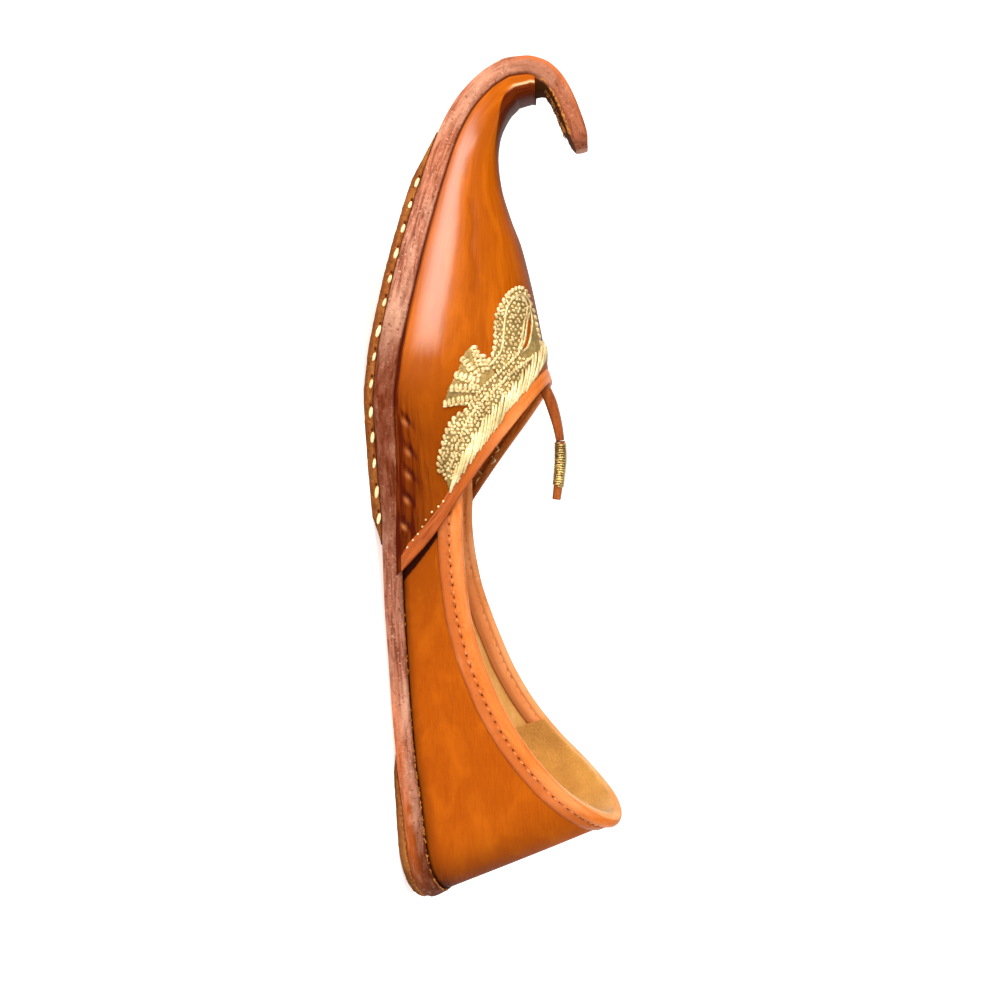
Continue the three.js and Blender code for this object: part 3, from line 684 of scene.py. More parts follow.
def quarter_point(column, t, grow):
    """The quarter by its column, which is below 1 round the heel and then the run past it in heel radii."""
    start = QUARTER_INSET - grow
    share = 1 - np.cos(np.clip(column, 0, 1) * math.pi / 2)
    run = start + HEEL_RADIUS * (share + np.maximum(column - 1, 0))
    rows = quarter_curve(run)
    round_heel = np.where(column < 1, end_round(run - start, HEEL_RADIUS), 1)
    half = (sole_at(run)[2] - QUARTER_INSET + grow) * round_heel
    return arch(rows, run, t, half, rows[..., 1] - QUARTER_INSET + VAMP_INSET + grow)


def crossing(inside, low, high):
    """Values between low and high at which a test turns from true to false."""
    for _ in range(36):
        middle = (low + high) / 2
        keep = inside(middle)
        low, high = np.where(keep, middle, low), np.where(keep, high, middle)
    return (low + high) / 2


def mouth_run(t, back):
    """Run at which the vamp's arch line meets its rear edge, moved back along the shoe by a distance."""

    def behind(run):
        point = vamp_point(run, t, 0)
        return point[..., 0] < mouth_place(point[..., 2])[..., 0] - back

    return crossing(behind, np.full(t.shape, 100.0), np.full(t.shape, 215.0))


def collar_t(column, grow, down):
    """Arch share at which the quarter meets its top edge, moved down by a distance."""

    def under(t):
        point = quarter_point(column, t, grow)
        return point[..., 2] < collar_height(point[..., 0])[..., 0] - down

    return crossing(under, np.zeros(column.shape), np.ones(column.shape))


def normals_of(grid):
    """Unit normals of a grid of points."""
    n = np.cross(np.gradient(grid, axis=0), np.gradient(grid, axis=1))
    return n / np.maximum(np.linalg.norm(n, axis=-1, keepdims=True), 1e-9)


def wall(name, outer, inner, materials, skin, marks):
    """A sheet with thickness from its outer and inner grids: slots outer, inner and cut edge."""
    rows, cols = outer.shape[:2]
    size = rows * cols
    cell = np.arange(size).reshape(rows, cols)
    a, b, c, d = cell[:-1, :-1], cell[1:, :-1], cell[1:, 1:], cell[:-1, 1:]
    top = np.stack([a, b, c, d], -1).reshape(-1, 4)
    under = top[:, ::-1] + size
    rim = np.concatenate([cell[0, :], cell[1:, -1], cell[-1, -2::-1], cell[-2:0:-1, 0]])
    after = np.roll(rim, -1)
    edge = np.stack([rim, after, after + size, rim + size], -1)
    faces = [tuple(f) for f in np.vstack([top, under, edge]).tolist()]
    slots = [0] * len(top) + [1] * len(under) + [2] * len(edge)
    points = np.vstack([outer.reshape(-1, 3), inner.reshape(-1, 3)])
    skins = np.vstack([skin.reshape(-1, 3)] * 2)
    marks = {key: np.concatenate([value.ravel()] * 2) for key, value in marks.items()}
    return put_mesh(name, points, faces, materials, slots, skins, marks)


VAMP_ROWS_COUNT = 240
VAMP_COLUMNS = 190
# The vamp's rear edge is worn away a little on the left, and the collar's right side sags ahead of the instep
NEAR_WEAR = 1.3
FAR_SAG = 4.2
spread = np.linspace(-1, 1, VAMP_COLUMNS + 1)
around = np.sign(spread) * (1 - (1 - np.abs(spread)) ** 1.5)
t = 1 - np.abs(around)
side = np.where(around < 0, -1.0, 1.0)
rear = mouth_run(t, -NEAR_WEAR * smoothstep(0, 0.1, around))
share = np.linspace(0, 1, VAMP_ROWS_COUNT + 1)[:, None] ** 1.25
vamp_runs = rear + (BEAK_END - rear) * share
vamp_t = np.broadcast_to(t, vamp_runs.shape)
flip = np.stack([np.ones_like(side), side, np.ones_like(side)], -1)
vamp_outer = vamp_point(vamp_runs, vamp_t, 0) * flip
vamp_wall = 1.35 + 0.7 * smoothstep(150, 178, vamp_runs)
vamp_inner = vamp_point(vamp_runs, vamp_t, -vamp_wall) * flip
# The inner wall draws together at the beak's end and closes it
closing = 0.97 * smoothstep(306, 311.5, vamp_runs)[..., None]
vamp_inner += (vamp_inner.mean(axis=1, keepdims=True) - vamp_inner) * closing

QUARTER_HEEL = 36
QUARTER_SIDE = 240
QUARTER_FRONT = 168
QUARTER_STEPS = 61
EDGE_COVER = 1.0
front = 1 + (QUARTER_FRONT - QUARTER_INSET - HEEL_RADIUS) / HEEL_RADIUS
half_columns = np.linspace(0, 1, QUARTER_HEEL + 1)
half_columns = np.concatenate([half_columns, np.linspace(1, front, QUARTER_SIDE + 1)[1:]])
columns = np.concatenate([-half_columns[:0:-1], half_columns])
quarter_share = np.linspace(0, 1, QUARTER_STEPS)[:, None]


def on_quarter(signed, share, grow, down):
    """Points of the quarter by columns, negative on the right, and by the share of the way to its edge."""
    column = np.abs(signed)
    sag = FAR_SAG * smoothstep(2.6, 4.6, column) * (signed < 0)
    top = collar_t(column, grow, down + sag)
    point = quarter_point(np.broadcast_to(column, (share * top).shape), share * top, grow)
    return point * np.stack([np.ones_like(signed), np.where(signed < 0, -1.0, 1.0), np.ones_like(signed)], -1)


quarter_outer = on_quarter(columns, quarter_share, 0, EDGE_COVER)
quarter_inner = on_quarter(columns, quarter_share, -QUARTER_WALL, EDGE_COVER)

# Lengths of the leather round the vamp's half arch and round one heel radius of the quarter
ARCH_LENGTH = 62
COLUMN_LENGTH = 40
vamp_skin = np.stack([vamp_runs, ARCH_LENGTH * vamp_t * side, 0 * vamp_runs], -1)
above_sole = vamp_outer[..., 2] - sole_at(vamp_runs)[0][..., 2] - 7
low_down = smoothstep(12, 1.5, above_sole) * smoothstep(215, 160, vamp_runs)
# Painted shade: a thin dark line along the vamp's foot, where it meets the sole
foot_shade_line = smoothstep(0.02, 0.004, vamp_t)
# The beak's pressed top begins at these runs and shares of the arch; the top is painted darker as shade
BEAK_FOLD = ((262, 0.8), (281, 0.64), (285, 0.55), (291, 0.33), (296, 0.235), (306, 0.205), (312.5, 0.15))
beak_fold = through([p[0] for p in BEAK_FOLD], [p[1:] for p in BEAK_FOLD])
past_fold = vamp_t - beak_fold(vamp_runs)[..., 0]
beak_top_shade = smoothstep(-0.015, 0.025, past_fold) * smoothstep(266, 290, vamp_runs)
# Painted shade: the vamp darkens towards its crown, which turns away from the light
ridge_shade = 0.62 * smoothstep(0.6, 0.95, vamp_t) * smoothstep(175, 200, vamp_runs)
rear_dye = 0.48 * smoothstep(200, 160, vamp_runs) * smoothstep(0.55, 0.3, vamp_t)
# The vamp's darkening holds dye and burnish, and painted shade at its foot, crown, beak top, troughs and
# crease
vamp_burnish_and_shade = np.clip(0.32 * low_down + 0.85 * foot_shade_line + 0.9 * beak_top_shade + ridge_shade + rear_dye, 0, 1)
# Painted highlight, partly wear: a pale line along the edge of the beak's top
vamp_scuff_and_highlight = 0.8 * np.exp(-((past_fold + 0.01) / 0.03) ** 2) * smoothstep(295, 303, vamp_runs)
vamp_polish = smoothstep(176, 206, vamp_runs) * smoothstep(292, 262, vamp_runs)
vamp_polish = vamp_polish * smoothstep(0.0, 0.1, vamp_t) * smoothstep(0.6, 0.36, vamp_t)
quarter_skin = np.stack([np.broadcast_to(columns * COLUMN_LENGTH, quarter_outer.shape[:2]),
                         quarter_outer[..., 2], 0 * quarter_outer[..., 2]], -1)
behind_mouth = mouth_place(quarter_outer[..., 2])[..., 0] - quarter_outer[..., 0]
quarter_foot = np.broadcast_to(quarter_share, quarter_outer.shape[:2])
shadow_wide = 0.6 + 1.4 * smoothstep(0.7, 0.0, quarter_foot)
# Painted shadow: the vamp's mouth binding casts it on the quarter behind the mouth
lap_shadow = 2.2 * smoothstep(shadow_wide + 0.8, shadow_wide - 0.8, behind_mouth)
# Painted shade: the quarter darkens round the back of the heel, where it turns from the light
quarter_back_shade = 0.5 * smoothstep(0.9, 0.3, np.abs(columns)) * smoothstep(0.8, 0.2, quarter_share)
# Painted shade: the quarter darkens towards the mouth, under the vamp's lap
quarter_front_shade = 0.16 * smoothstep(45, 8, behind_mouth)
# Painted shade along the foot, where the quarter meets the sole, over a faint even darkening
quarter_low_shade = 0.06 + 0.35 * smoothstep(0.12, 0.0, quarter_foot)
quarter_burnish_and_shade = np.clip(quarter_low_shade + lap_shadow + quarter_back_shade + quarter_front_shade, 0, 2)


def search_tree(grid):
    """A search tree of the sheet through a grid of points."""
    cell = np.arange(grid.size // 3).reshape(grid.shape[:2])
    quads = np.stack([cell[:-1, :-1], cell[1:, :-1], cell[1:, 1:], cell[:-1, 1:]], -1)
    return BVHTree.FromPolygons(grid.reshape(-1, 3).tolist(), quads.reshape(-1, 4).tolist())


near_vamp = search_tree(vamp_outer[:, around > -0.06])
far_lining = search_tree(vamp_inner[:, around < 0])
EYE = CAMERA_PLACE + (MIDDLE_X, 0, 0)


def seen(pixels, tree=near_vamp):
    """Points of the vamp's left side, or of another sheet, at pixels of the picture, and their normals
    towards the eye."""
    points, normals = [], []
    for px, py in pixels:
        ray = (CAMERA_RIGHT * (px - PICTURE / 2) + CAMERA_UP * (PICTURE / 2 - py)) / LENS_PIXELS - CAMERA_BACK
        ray = Vector(ray).normalized()
        hit = tree.ray_cast(Vector(EYE), ray)
        if hit[0] is None:
            hit = tree.find_nearest(Vector(EYE) + ray * (EYE[1] - 8) / -ray.y)
        points.append(hit[0])
        normals.append(hit[1] if hit[1].y > 0 else -hit[1])
    return np.array(points), np.array(normals)


def drawn(points, steps):
    """An open line drawn smoothly through a few points."""
    points = np.asarray(points, float)
    padded = np.vstack([2 * points[0] - points[1], points, 2 * points[-1] - points[-2]])
    out = []
    for i in range(len(points) - 1):
        a, b, c, d = padded[i:i + 4]
        for u in np.linspace(0, 1, steps, endpoint=False):
            out.append(0.5 * (2 * b + (c - a) * u + (2 * a - 5 * b + 4 * c - d) * u ** 2
                              + (3 * b - 3 * c + d - a) * u ** 3))
    out.append(points[-1])
    return np.array(out)


# Upper leather: orange tan dyed by hand, waxed to a shine on the toe, burnt red where it meets the sole;
# its marks also paint shade and highlights on it
upper_leather = leather("tan_upper_leather", ("#460F00", "#8E4002", "#A85204", "#C0640A", "#FFC090"),
                        (16, 0.9, 0.23), (0.35, 0.5, 0.04), (1.4, 0.05, 0.12, 0.05))
tree = upper_leather.node_tree
waxed = add(tree, "ShaderNodeAttribute", {"attribute_name": "polish"}, {}).outputs["Fac"]
tree.links.new(waxed, tree.nodes["Principled BSDF"].inputs["Coat Weight"])
tree.nodes["Principled BSDF"].inputs["Coat Roughness"].default_value = 0.19
# Quarter leather: the same tan, drier, with finer streaks and hardly any shine
quarter_leather = leather("tan_quarter_leather", ("#280600", "#964204", "#AC5205", "#C2640C"), (9, 0.7, 0.25),
                          (0.5, 0.65, 0.04), (1.2, 0.05, 0.12, 0.1))
# Quarter lining: cream tan leather with a soft nap
lining_leather = leather("cream_lining_leather", ("#A06A2C", "#E0AA5C", "#ECBC70", "#F8D69A"), (24, 5, 0.14),
                         (0.55, 0.75, 0.1), (1.0, 0.12, 0.3, 0.2))
# Vamp lining: brown split leather with a nap
dark_lining = leather("brown_lining_leather", ("#6A2C0C", "#B86426", "#D07E3A", "#E4A05C"), (8, 2, 0.14),
                      (0.75, 0.9, 0.1), (0.8, 0.3, 0.6, 0.4))
# Slanting troughs that the lacing pulls into the vamp's foot, as pixels, each with a lump beside it
# The troughs are painted dark as shade and the lumps pale as painted highlights
LACING = ((514, 420), (517, 450), (517, 473), (516, 498), (513, 524))
SLANT = np.array((-0.86, 0.51))
TROUGH = (-1.1, 2.4, 0.5)
LUMP = (0.6, 1.2, 0.6)
LUMP_PLACE = (0.3, -1.2)
# A crease that the toes have worn into the side, as pixels
# Its trough is painted darker as shade
TOE_CREASE = ((578, 200), (580, 226), (577, 245), (582, 268), (580, 288))
CREASE_WIDE = 1.5
CREASE_DEEP = 0.22
mirrored = vamp_outer * (1, 0, 1) + np.abs(vamp_outer) * (0, 1, 0)
vamp_normals = normals_of(vamp_outer)
vamp_normals *= np.sign(np.sum(vamp_normals * (vamp_outer - vamp_inner), -1, keepdims=True))
relief = np.zeros(vamp_runs.shape)
for spot in seen(LACING)[0]:
    shift = mirrored - spot
    along = shift[..., 0] * SLANT[0] + shift[..., 2] * SLANT[1]
    aside = shift[..., 0] * SLANT[1] - shift[..., 2] * SLANT[0]
    near_by = np.abs(shift[..., 1]) < 12
    dent = np.exp(-(along / TROUGH[1]) ** 2 - (aside / TROUGH[2]) ** 2) * near_by
    lump_along, lump_aside = along - LUMP_PLACE[0], aside - LUMP_PLACE[1]
    lump = np.exp(-(lump_along / LUMP[1]) ** 2 - (lump_aside / LUMP[2]) ** 2) * near_by
    relief += TROUGH[0] * dent + LUMP[0] * lump
    # Painted shade in each trough, and a painted highlight on each lump
    vamp_burnish_and_shade = np.clip(vamp_burnish_and_shade * (1 - 0.8 * lump) + dent, 0, 1)
    vamp_scuff_and_highlight = np.maximum(vamp_scuff_and_highlight, 0.12 * lump)
for spot in seen(drawn(TOE_CREASE, 12))[0]:
    bump = np.exp(-np.sum((mirrored - spot) ** 2, -1) / CREASE_WIDE ** 2)
    relief = np.minimum(relief, -CREASE_DEEP * bump)
    # Painted shade in the crease
    vamp_burnish_and_shade = np.maximum(vamp_burnish_and_shade, 0.22 * bump)
vamp_outer = vamp_outer + vamp_normals * relief[..., None]

vamp_marks = {"burnish_and_shade": vamp_burnish_and_shade, "scuff_and_highlight": vamp_scuff_and_highlight, "polish": 0.95 * vamp_polish}
vamp = wall("vamp", vamp_outer, vamp_inner, [upper_leather, dark_lining, dark_lining], vamp_skin, vamp_marks)
quarter = wall("quarter", quarter_outer, quarter_inner, [quarter_leather, lining_leather, quarter_leather],
               quarter_skin, {"burnish_and_shade": quarter_burnish_and_shade})
for piece in (vamp, quarter):
    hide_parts("upper")
    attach(piece, "root")

# Bindings
# Strips of thin orange leather folded over the mouth's and the collar's raw edges and sewn down.
MOUTH_BAND = 5.2
COLLAR_BAND = 7.4
COLLAR_END = 156
COLLAR_PITCH = 3.4
PUCKER = 0.28


def sweep(name, origin, out, back, profile, materials, slot_of, burnish_and_shade):
    """A closed outline carried along an edge: its first column goes outwards, its second back over the
    sheet."""
    rings = origin[:, None, :] + out[:, None, :] * profile[..., :1] + back[:, None, :] * profile[..., 1:]
    skins = np.zeros(rings.shape)
    skins[..., 0] = run_along(origin)[:, None]
    skins[..., 1] = profile[..., 1] + profile[..., 0]
    return loft(name, rings, materials, slot_of, skins, {"burnish_and_shade": burnish_and_shade})


def rounded(points, steps):
    """A closed outline drawn smoothly through a few points."""
    points = np.asarray(points, float)
    before, after, beyond = np.roll(points, 1, 0), np.roll(points, -1, 0), np.roll(points, -2, 0)
    out = []
    for i in range(len(points)):
        for k in range(steps):
            u = k / steps
            a, b, c, d = before[i], points[i], after[i], beyond[i]
            out.append(0.5 * (2 * b + (c - a) * u + (2 * a - 5 * b + 4 * c - d) * u ** 2
                              + (3 * b - 3 * c + d - a) * u ** 3))
    return np.array(out)


def unit(vectors):
    return vectors / np.maximum(np.linalg.norm(vectors, axis=-1, keepdims=True), 1e-9)


def run_along(points):
    return np.concatenate([[0], np.cumsum(np.linalg.norm(np.diff(points, axis=0), axis=1))])


# Binding leather: thin, bright orange and smooth, drawn tight over the edge
binding_leather = leather("orange_binding_leather", ("#7A2C00", "#C4641C", "#D47634", "#EC965C"),
                          (10, 1.2, 0.16), (0.32, 0.45, 0.2), (0.9, 0.08, 0.4, 0.1))
# Turned-in side of the collar's binding: salmon tan with a soft nap
salmon_leather = leather("salmon_binding_leather", ("#8A4416", "#E08A4C", "#EC9A5E", "#F8B47E"),
                         (24, 5, 0.14), (0.5, 0.7, 0.1), (1.0, 0.1, 0.3, 0.1))

EDGE_POINTS = 201
edge_around = np.linspace(-0.985, 0.985, EDGE_POINTS)
edge_t = 1 - np.abs(edge_around)
edge_side = np.where(edge_around < 0, -1.0, 1.0)
edge_flip = np.stack([np.ones(EDGE_POINTS), edge_side, np.ones(EDGE_POINTS)], -1)
edge_run = mouth_run(edge_t, -NEAR_WEAR * smoothstep(0, 0.1, edge_around))
edge = vamp_point(edge_run, edge_t, 0) * edge_flip
ahead = unit(vamp_point(edge_run + 2, edge_t, 0) * edge_flip - edge)
across = unit(np.gradient(edge, axis=0))
out = unit(np.cross(across, ahead))
out *= np.sign(np.sum(out * (vamp_point(edge_run, edge_t, 1) * edge_flip - edge), 1))[:, None]
mouth_profile = rounded([(0.05, MOUTH_BAND), (0.3, MOUTH_BAND - 0.4), (0.5, 3.0), (0.65, 1.2), (0.5, -0.1),
                         (-0.3, -0.5), (-1.2, -0.4), (-1.7, 0.3), (-2.1, 2.0), (-1.8, 2.0), (-1.35, 0.3),
                         (-0.6, 0.05), (0.02, 0.2), (0.02, 2.4)], 3)
mouth_slots = [0] * 17 + [1] * 13 + [0] * 12
# Painted shade: the mouth's binding darkens towards its lower ends, which face away from the light
mouth_shade = (0.7 * smoothstep(0.6, 0.15, edge_t))[:, None]
mouth_shape = np.tile(mouth_profile, (EDGE_POINTS, 1, 1))
mouth_wide = 1.2 - 0.4 * smoothstep(0.3, 0.85, edge_t) - 0.3 * smoothstep(0.035, 0.015, edge_t)
mouth_shape[..., 1] *= mouth_wide[:, None]
mouth_binding = sweep("mouth_edge_binding", edge, out, ahead, mouth_shape, [binding_leather, dark_lining],
                      mouth_slots, mouth_shade)
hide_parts("mouth_binding")

collar_front = 1 + (COLLAR_END - QUARTER_INSET - HEEL_RADIUS) / HEEL_RADIUS
half_edge = np.concatenate([np.linspace(0, 1, 70), np.linspace(1, collar_front, 250)[1:]])
edge_columns = np.concatenate([-half_edge[:0:-1], half_edge])
whole = np.ones((1, 1))
outer_edge = on_quarter(edge_columns, whole, 0, 0.0)[0]
inner_edge = on_quarter(edge_columns, whole, -QUARTER_WALL, 0.0)[0]
lower_edge = on_quarter(edge_columns, whole, 0, 5.0)[0]
collar_edge = (outer_edge + inner_edge) / 2
down = unit(lower_edge - outer_edge)
along = unit(np.gradient(collar_edge, axis=0))
out = unit(np.cross(along, down))
out *= np.sign(np.sum(out * (outer_edge - inner_edge), 1))[:, None]
collar_profile = rounded([(1.0, COLLAR_BAND), (1.3, COLLAR_BAND - 0.1), (1.5, 6.2), (1.45, 4.9), (1.05, 4.2),
                          (1.85, 3.5), (2.3, 2.0), (1.8, 0.5), (0.6, -0.25), (-0.7, -0.2), (-1.6, 0.5),
                          (-1.9, 1.4), (-1.65, 2.1), (-1.85, 3.0), (-1.8, 6.6), (-1.05, 6.9), (-1.0, 1.2),
                          (0, 0.5), (1.0, 1.2)], 3)
collar_slots = [0] * 24 + [1] * 24 + [0] * 9
below_edge = collar_profile[:, 1]
collar_dye = (0.42 * smoothstep(4.0, 4.6, below_edge) + 0.2 * smoothstep(6.9, 7.3, below_edge))[None, :]
tucked = smoothstep(138, 143, outer_edge[:, 0])
collar_shape = np.tile(collar_profile, (len(collar_edge), 1, 1))
collar_shape[..., 0] *= np.where(collar_shape[..., 0] > 0, 1 - 0.55 * tucked[:, None], 1)
pucker = np.cos(run_along(collar_edge) * 2 * math.pi / COLLAR_PITCH)[:, None]
sewn_line = np.exp(-((below_edge - 4.4) / 0.7) ** 2) * (collar_profile[:, 0] > 0)
collar_shape[..., 0] += PUCKER * pucker * sewn_line
collar_binding = sweep("collar_edge_binding", collar_edge, out, down, collar_shape,
                       [binding_leather, salmon_leather], collar_slots, collar_dye)
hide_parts("collar_binding")
for piece in (mouth_binding, collar_binding):
    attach(piece, "root")

# Tab
# A narrow leather tongue that stands back from the mouth's peak, its end wrapped with gold thread.
TAB_ROWS = ((185, 52.4, 7.4, 3.2), (180.5, 54.3, 7.3, 3.7), (175, 56.5, 7, 3.9), (170, 57.8, 6.8, 3.6),
            (166, 58.6, 6.6, 3.2), (161.3, 59.2, 6.5, 2.8))
WRAP_ROWS = ((161, 59.2, 6.6, 3.2), (156, 59.1, 6.7, 3.4), (150, 58.4, 6.5, 3.3), (141.4, 57, 6.2, 2.9))
WRAP_PITCH = 0.8
WRAP_RADIUS = 0.42
STUB = 4.9


def tongue_rings(rows, count, edge):
    """Rings of a flat strip with round edges about its own middle line."""
    curve, length = spine(rows)
    at = np.linspace(0, length, count)
    point, normal, half, thick = follow(curve, at)
    angle = np.linspace(0, 2 * math.pi, 33)[:-1]
    y = np.sign(np.cos(angle)) * np.abs(np.cos(angle)) ** edge
    up = np.sign(np.sin(angle)) * np.abs(np.sin(angle)) ** edge
    across = np.stack([0 * half, half, 0 * half], -1)
    rise = normal * thick[:, None] / 2
    return point[:, None] + across[:, None] * y[None, :, None] + rise[:, None] * up[None, :, None]


# Tab leather: copper brown
tab_leather = leather("copper_tab_leather", ("#4A1C04", "#7C380A", "#984A12", "#BC6C2C"), (10, 1.2, 0.14),
                      (0.4, 0.55, 0.2), (0.9, 0.1, 0.5, 0.3))
tab = loft("tongue_tab", tongue_rings(TAB_ROWS, 24, 0.35), [tab_leather])
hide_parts("tab")
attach(tab, "root")
wrap_core = loft("tab_core", tongue_rings(WRAP_ROWS, 24, 0.4), [tab_leather])
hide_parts("tab_wrap")
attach(wrap_core, "root")


def threads(name, paths, radii, material):
    """Round threads along paths, each with a radius at every point, and closed at its ends."""
    points = np.vstack(paths)
    edges = []
    first = 0
    for path in paths:
        edges += [(first + i, first + i + 1) for i in range(len(path) - 1)]
        first += len(path)

    def nodes_of(tree, entry):
        line = add(tree, "GeometryNodeMeshToCurve", {}, {"Mesh": entry.outputs["Geometry"]})
        radius = add(tree, "GeometryNodeInputNamedAttribute", {"data_type": "FLOAT"}, {"Name": "thickness"})
        sized = add(tree, "GeometryNodeSetCurveRadius", {},
                    {"Curve": line.outputs[0], "Radius": radius.outputs[0]})
        ring = add(tree, "GeometryNodeCurvePrimitiveCircle", {},
                   {"Resolution": 6, "Radius": entry.outputs["Radius"]})
        tube = add(tree, "GeometryNodeCurveToMesh", {}, {"Curve": sized.outputs[0],
                                                         "Profile Curve": ring.outputs[0], "Fill Caps": True})
        if "Scale" in tube.inputs:
            tree.links.new(radius.outputs[0], tube.inputs["Scale"])
        return tube.outputs[0]

    layers = {"thickness": ("FLOAT", "value", np.concatenate(radii))}
    return grow(name, points, edges, layers, nodes_of, {"Radius": MM}, material)


# Gold thread: flat metal strip wound on a cotton core, with painted glints: pale spots where a turn would
# catch the light
def gold_thread(name, deep, middle, bright, metal, shine):
    material, tree, shader = start_material(name)
    spot = add(tree, "ShaderNodeTexCoord", {}, {}).outputs["Object"]
    turn = add(tree, "ShaderNodeTexNoise", {}, {"Vector": spot, "Scale": 1000 / 0.9, "Detail": 3.0})
    fade = add(tree, "ShaderNodeTexNoise", {}, {"Vector": spot, "Scale": 1000 / 9, "Detail": 2.0})
    share = add(tree, "ShaderNodeMapRange", {},
                {"Value": turn.outputs["Fac"], "From Min": 0.35, "From Max": 0.65})
    worn = add(tree, "ShaderNodeMapRange", {},
               {"Value": fade.outputs["Fac"], "From Min": 0.4, "From Max": 0.8})
    # Painted glints: small pale spots of colour along the turns
    tint = add(tree, "ShaderNodeMix", {"data_type": "RGBA"},
               {0: share.outputs["Result"], 6: linear(middle), 7: linear(bright)})
    tarnish = add(tree, "ShaderNodeMix", {"data_type": "RGBA"},
                  {0: worn.outputs["Result"], 6: tint.outputs[2], 7: linear(deep)})
    tree.links.new(tarnish.outputs[2], shader.inputs["Base Color"])
    relief = add(tree, "ShaderNodeBump", {}, {"Height": turn.outputs["Fac"], "Distance": 0.15 * MM})
    tree.links.new(relief.outputs["Normal"], shader.inputs["Normal"])
    shader.inputs["Metallic"].default_value = metal
    shader.inputs["Roughness"].default_value = shine
    return material


foil = gold_thread("tarnished_gold_foil", "#4A360E", "#86662A", "#E4C680", 0.7, 0.3)
wrap_curve, wrap_length = spine(WRAP_ROWS)
turns = int((wrap_length - STUB) / WRAP_PITCH)
angle = np.linspace(0, turns * 2 * math.pi, turns * 28)
at = 0.4 + (wrap_length - STUB) * angle / angle[-1]
point, normal, half, thick = follow(wrap_curve, at)
y = np.sign(np.cos(angle)) * np.abs(np.cos(angle)) ** 0.45 * (half + 0.1)
up = np.sign(np.sin(angle)) * np.abs(np.sin(angle)) ** 0.45 * (thick / 2 + 0.1)
winding = point + normal * up[:, None] + np.stack([0 * y, y, 0 * y], -1)
tab_wrap = threads("tab_winding", [winding], [np.full(len(winding), WRAP_RADIUS)], foil)
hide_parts("tab_wrap")
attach(tab_wrap, "root")

# Heel pad
# A piece of tan suede glued inside the back of the quarter, up to the collar, where the heel rubs.
PAD_RUN = 40
PAD_DOWN = 0.5
PAD_THICK = 2.1
# Suede: short brushed nap, mustard tan, darker where it is stroked the other way
suede, tree, shader = start_material("mustard_suede")
spot = add(tree, "ShaderNodeTexCoord", {}, {}).outputs["Object"]
nap = add(tree, "ShaderNodeTexNoise", {}, {"Vector": spot, "Scale": 1000 / 0.7, "Detail": 4.0})
stroke = add(tree, "ShaderNodeTexNoise", {}, {"Vector": spot, "Scale": 1000 / 14, "Detail": 3.0})
mixed = add(tree, "ShaderNodeMath", {"operation": "MULTIPLY_ADD"}, {0: nap.outputs["Fac"], 1: 0.5, 2: -0.25})
shade = add(tree, "ShaderNodeMath", {"operation": "ADD"}, {0: stroke.outputs["Fac"], 1: mixed.outputs[0]})
shade = add(tree, "ShaderNodeMapRange", {}, {"Value": shade.outputs[0], "From Min": 0.2, "From Max": 0.8})
tint = add(tree, "ShaderNodeMix", {"data_type": "RGBA"},
           {0: shade.outputs["Result"], 6: linear("#A87026"), 7: linear("#DCA048")})
tree.links.new(tint.outputs[2], shader.inputs["Base Color"])
relief = add(tree, "ShaderNodeBump", {}, {"Height": nap.outputs["Fac"], "Distance": 0.4 * MM})
tree.links.new(relief.outputs["Normal"], shader.inputs["Normal"])
shader.inputs["Roughness"].default_value = 0.95
shader.inputs["Sheen Weight"].default_value = 0.3

pad_front = 1 + (PAD_RUN - QUARTER_INSET - HEEL_RADIUS) / HEEL_RADIUS
half_pad = np.concatenate([np.linspace(0, 1, 30), np.linspace(1, pad_front, 16)[1:]])
pad_columns = np.concatenate([-half_pad[:0:-1], half_pad])
pad_share = np.linspace(0.12, 1, 40)[:, None]
pad_back = on_quarter(pad_columns, pad_share, -QUARTER_WALL - 0.1, PAD_DOWN)
pad_face = on_quarter(pad_columns, pad_share, -QUARTER_WALL - PAD_THICK, PAD_DOWN)
pad = wall("suede_heel_pad", pad_back, pad_face, [suede] * 3, pad_back, {})
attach(pad, "root")

# Edge sewing
# Pale cotton stitches with their holes along the collar's binding, inside and out, and along the mouth's
# lower edge, where the binding is sewn through the leather.
COLLAR_STITCH = (1.7, 0.55, 0.45)
HOLE = (0.9, 0.42, 0.35)
MOUTH_STITCHES = ((553, 497), (546, 505), (539, 511), (533, 518), (529, 526), (524, 534), (519, 540),
                  (513, 548))
MOUTH_PITCH = 2.7
MOUTH_STITCH = (0.8, 0.65, 0.55)
pale_cotton = cotton_cord("pale_cotton_thread", "#DC9052", "#AC6024")


def spaced(points, others, pitch, start):
    """Points at an even pitch along a path, with the other vectors that belong to it."""
    run = run_along(points)
    at = np.arange(start, run[-1], pitch)
    at += dice.uniform(-0.12, 0.12, len(at)) * pitch
    picked = []
    for values in (points, *others):
        picked.append(np.stack([np.interp(at, run, values[:, k]) for k in range(3)], -1))
    return picked


sewn, pierced = [], []
for shift, deep in ((1.25, 4.25), (-1.8, 2.15)):
    line = collar_edge + out * shift + down * deep
    facing = out * np.sign(shift)
    heading = unit(unit(np.gradient(line, axis=0)) + down * dice.normal(0.15, 0.25, (len(line), 1)))
    sewn.append(spaced(line, (facing, heading), COLLAR_PITCH, COLLAR_PITCH))
    if shift > 0:
        pierced.append(spaced(line, (facing, heading), COLLAR_PITCH, COLLAR_PITCH * 1.5))


def sewing(name, rows, size, material):
    """Stitches or holes from lists of places, facings and headings."""
    places, facings, headings = (np.vstack(part) for part in zip(*rows))
    piece = grains(name, places, facings, headings, np.tile(size, (len(places), 1)), material)
    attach(piece, "root")
    return piece


sewing("collar_stitches", sewn, COLLAR_STITCH, pale_cotton)
sewing("collar_holes", pierced, HOLE, hole_shade_leather)


FLIP = np.array((1, -1, 1))


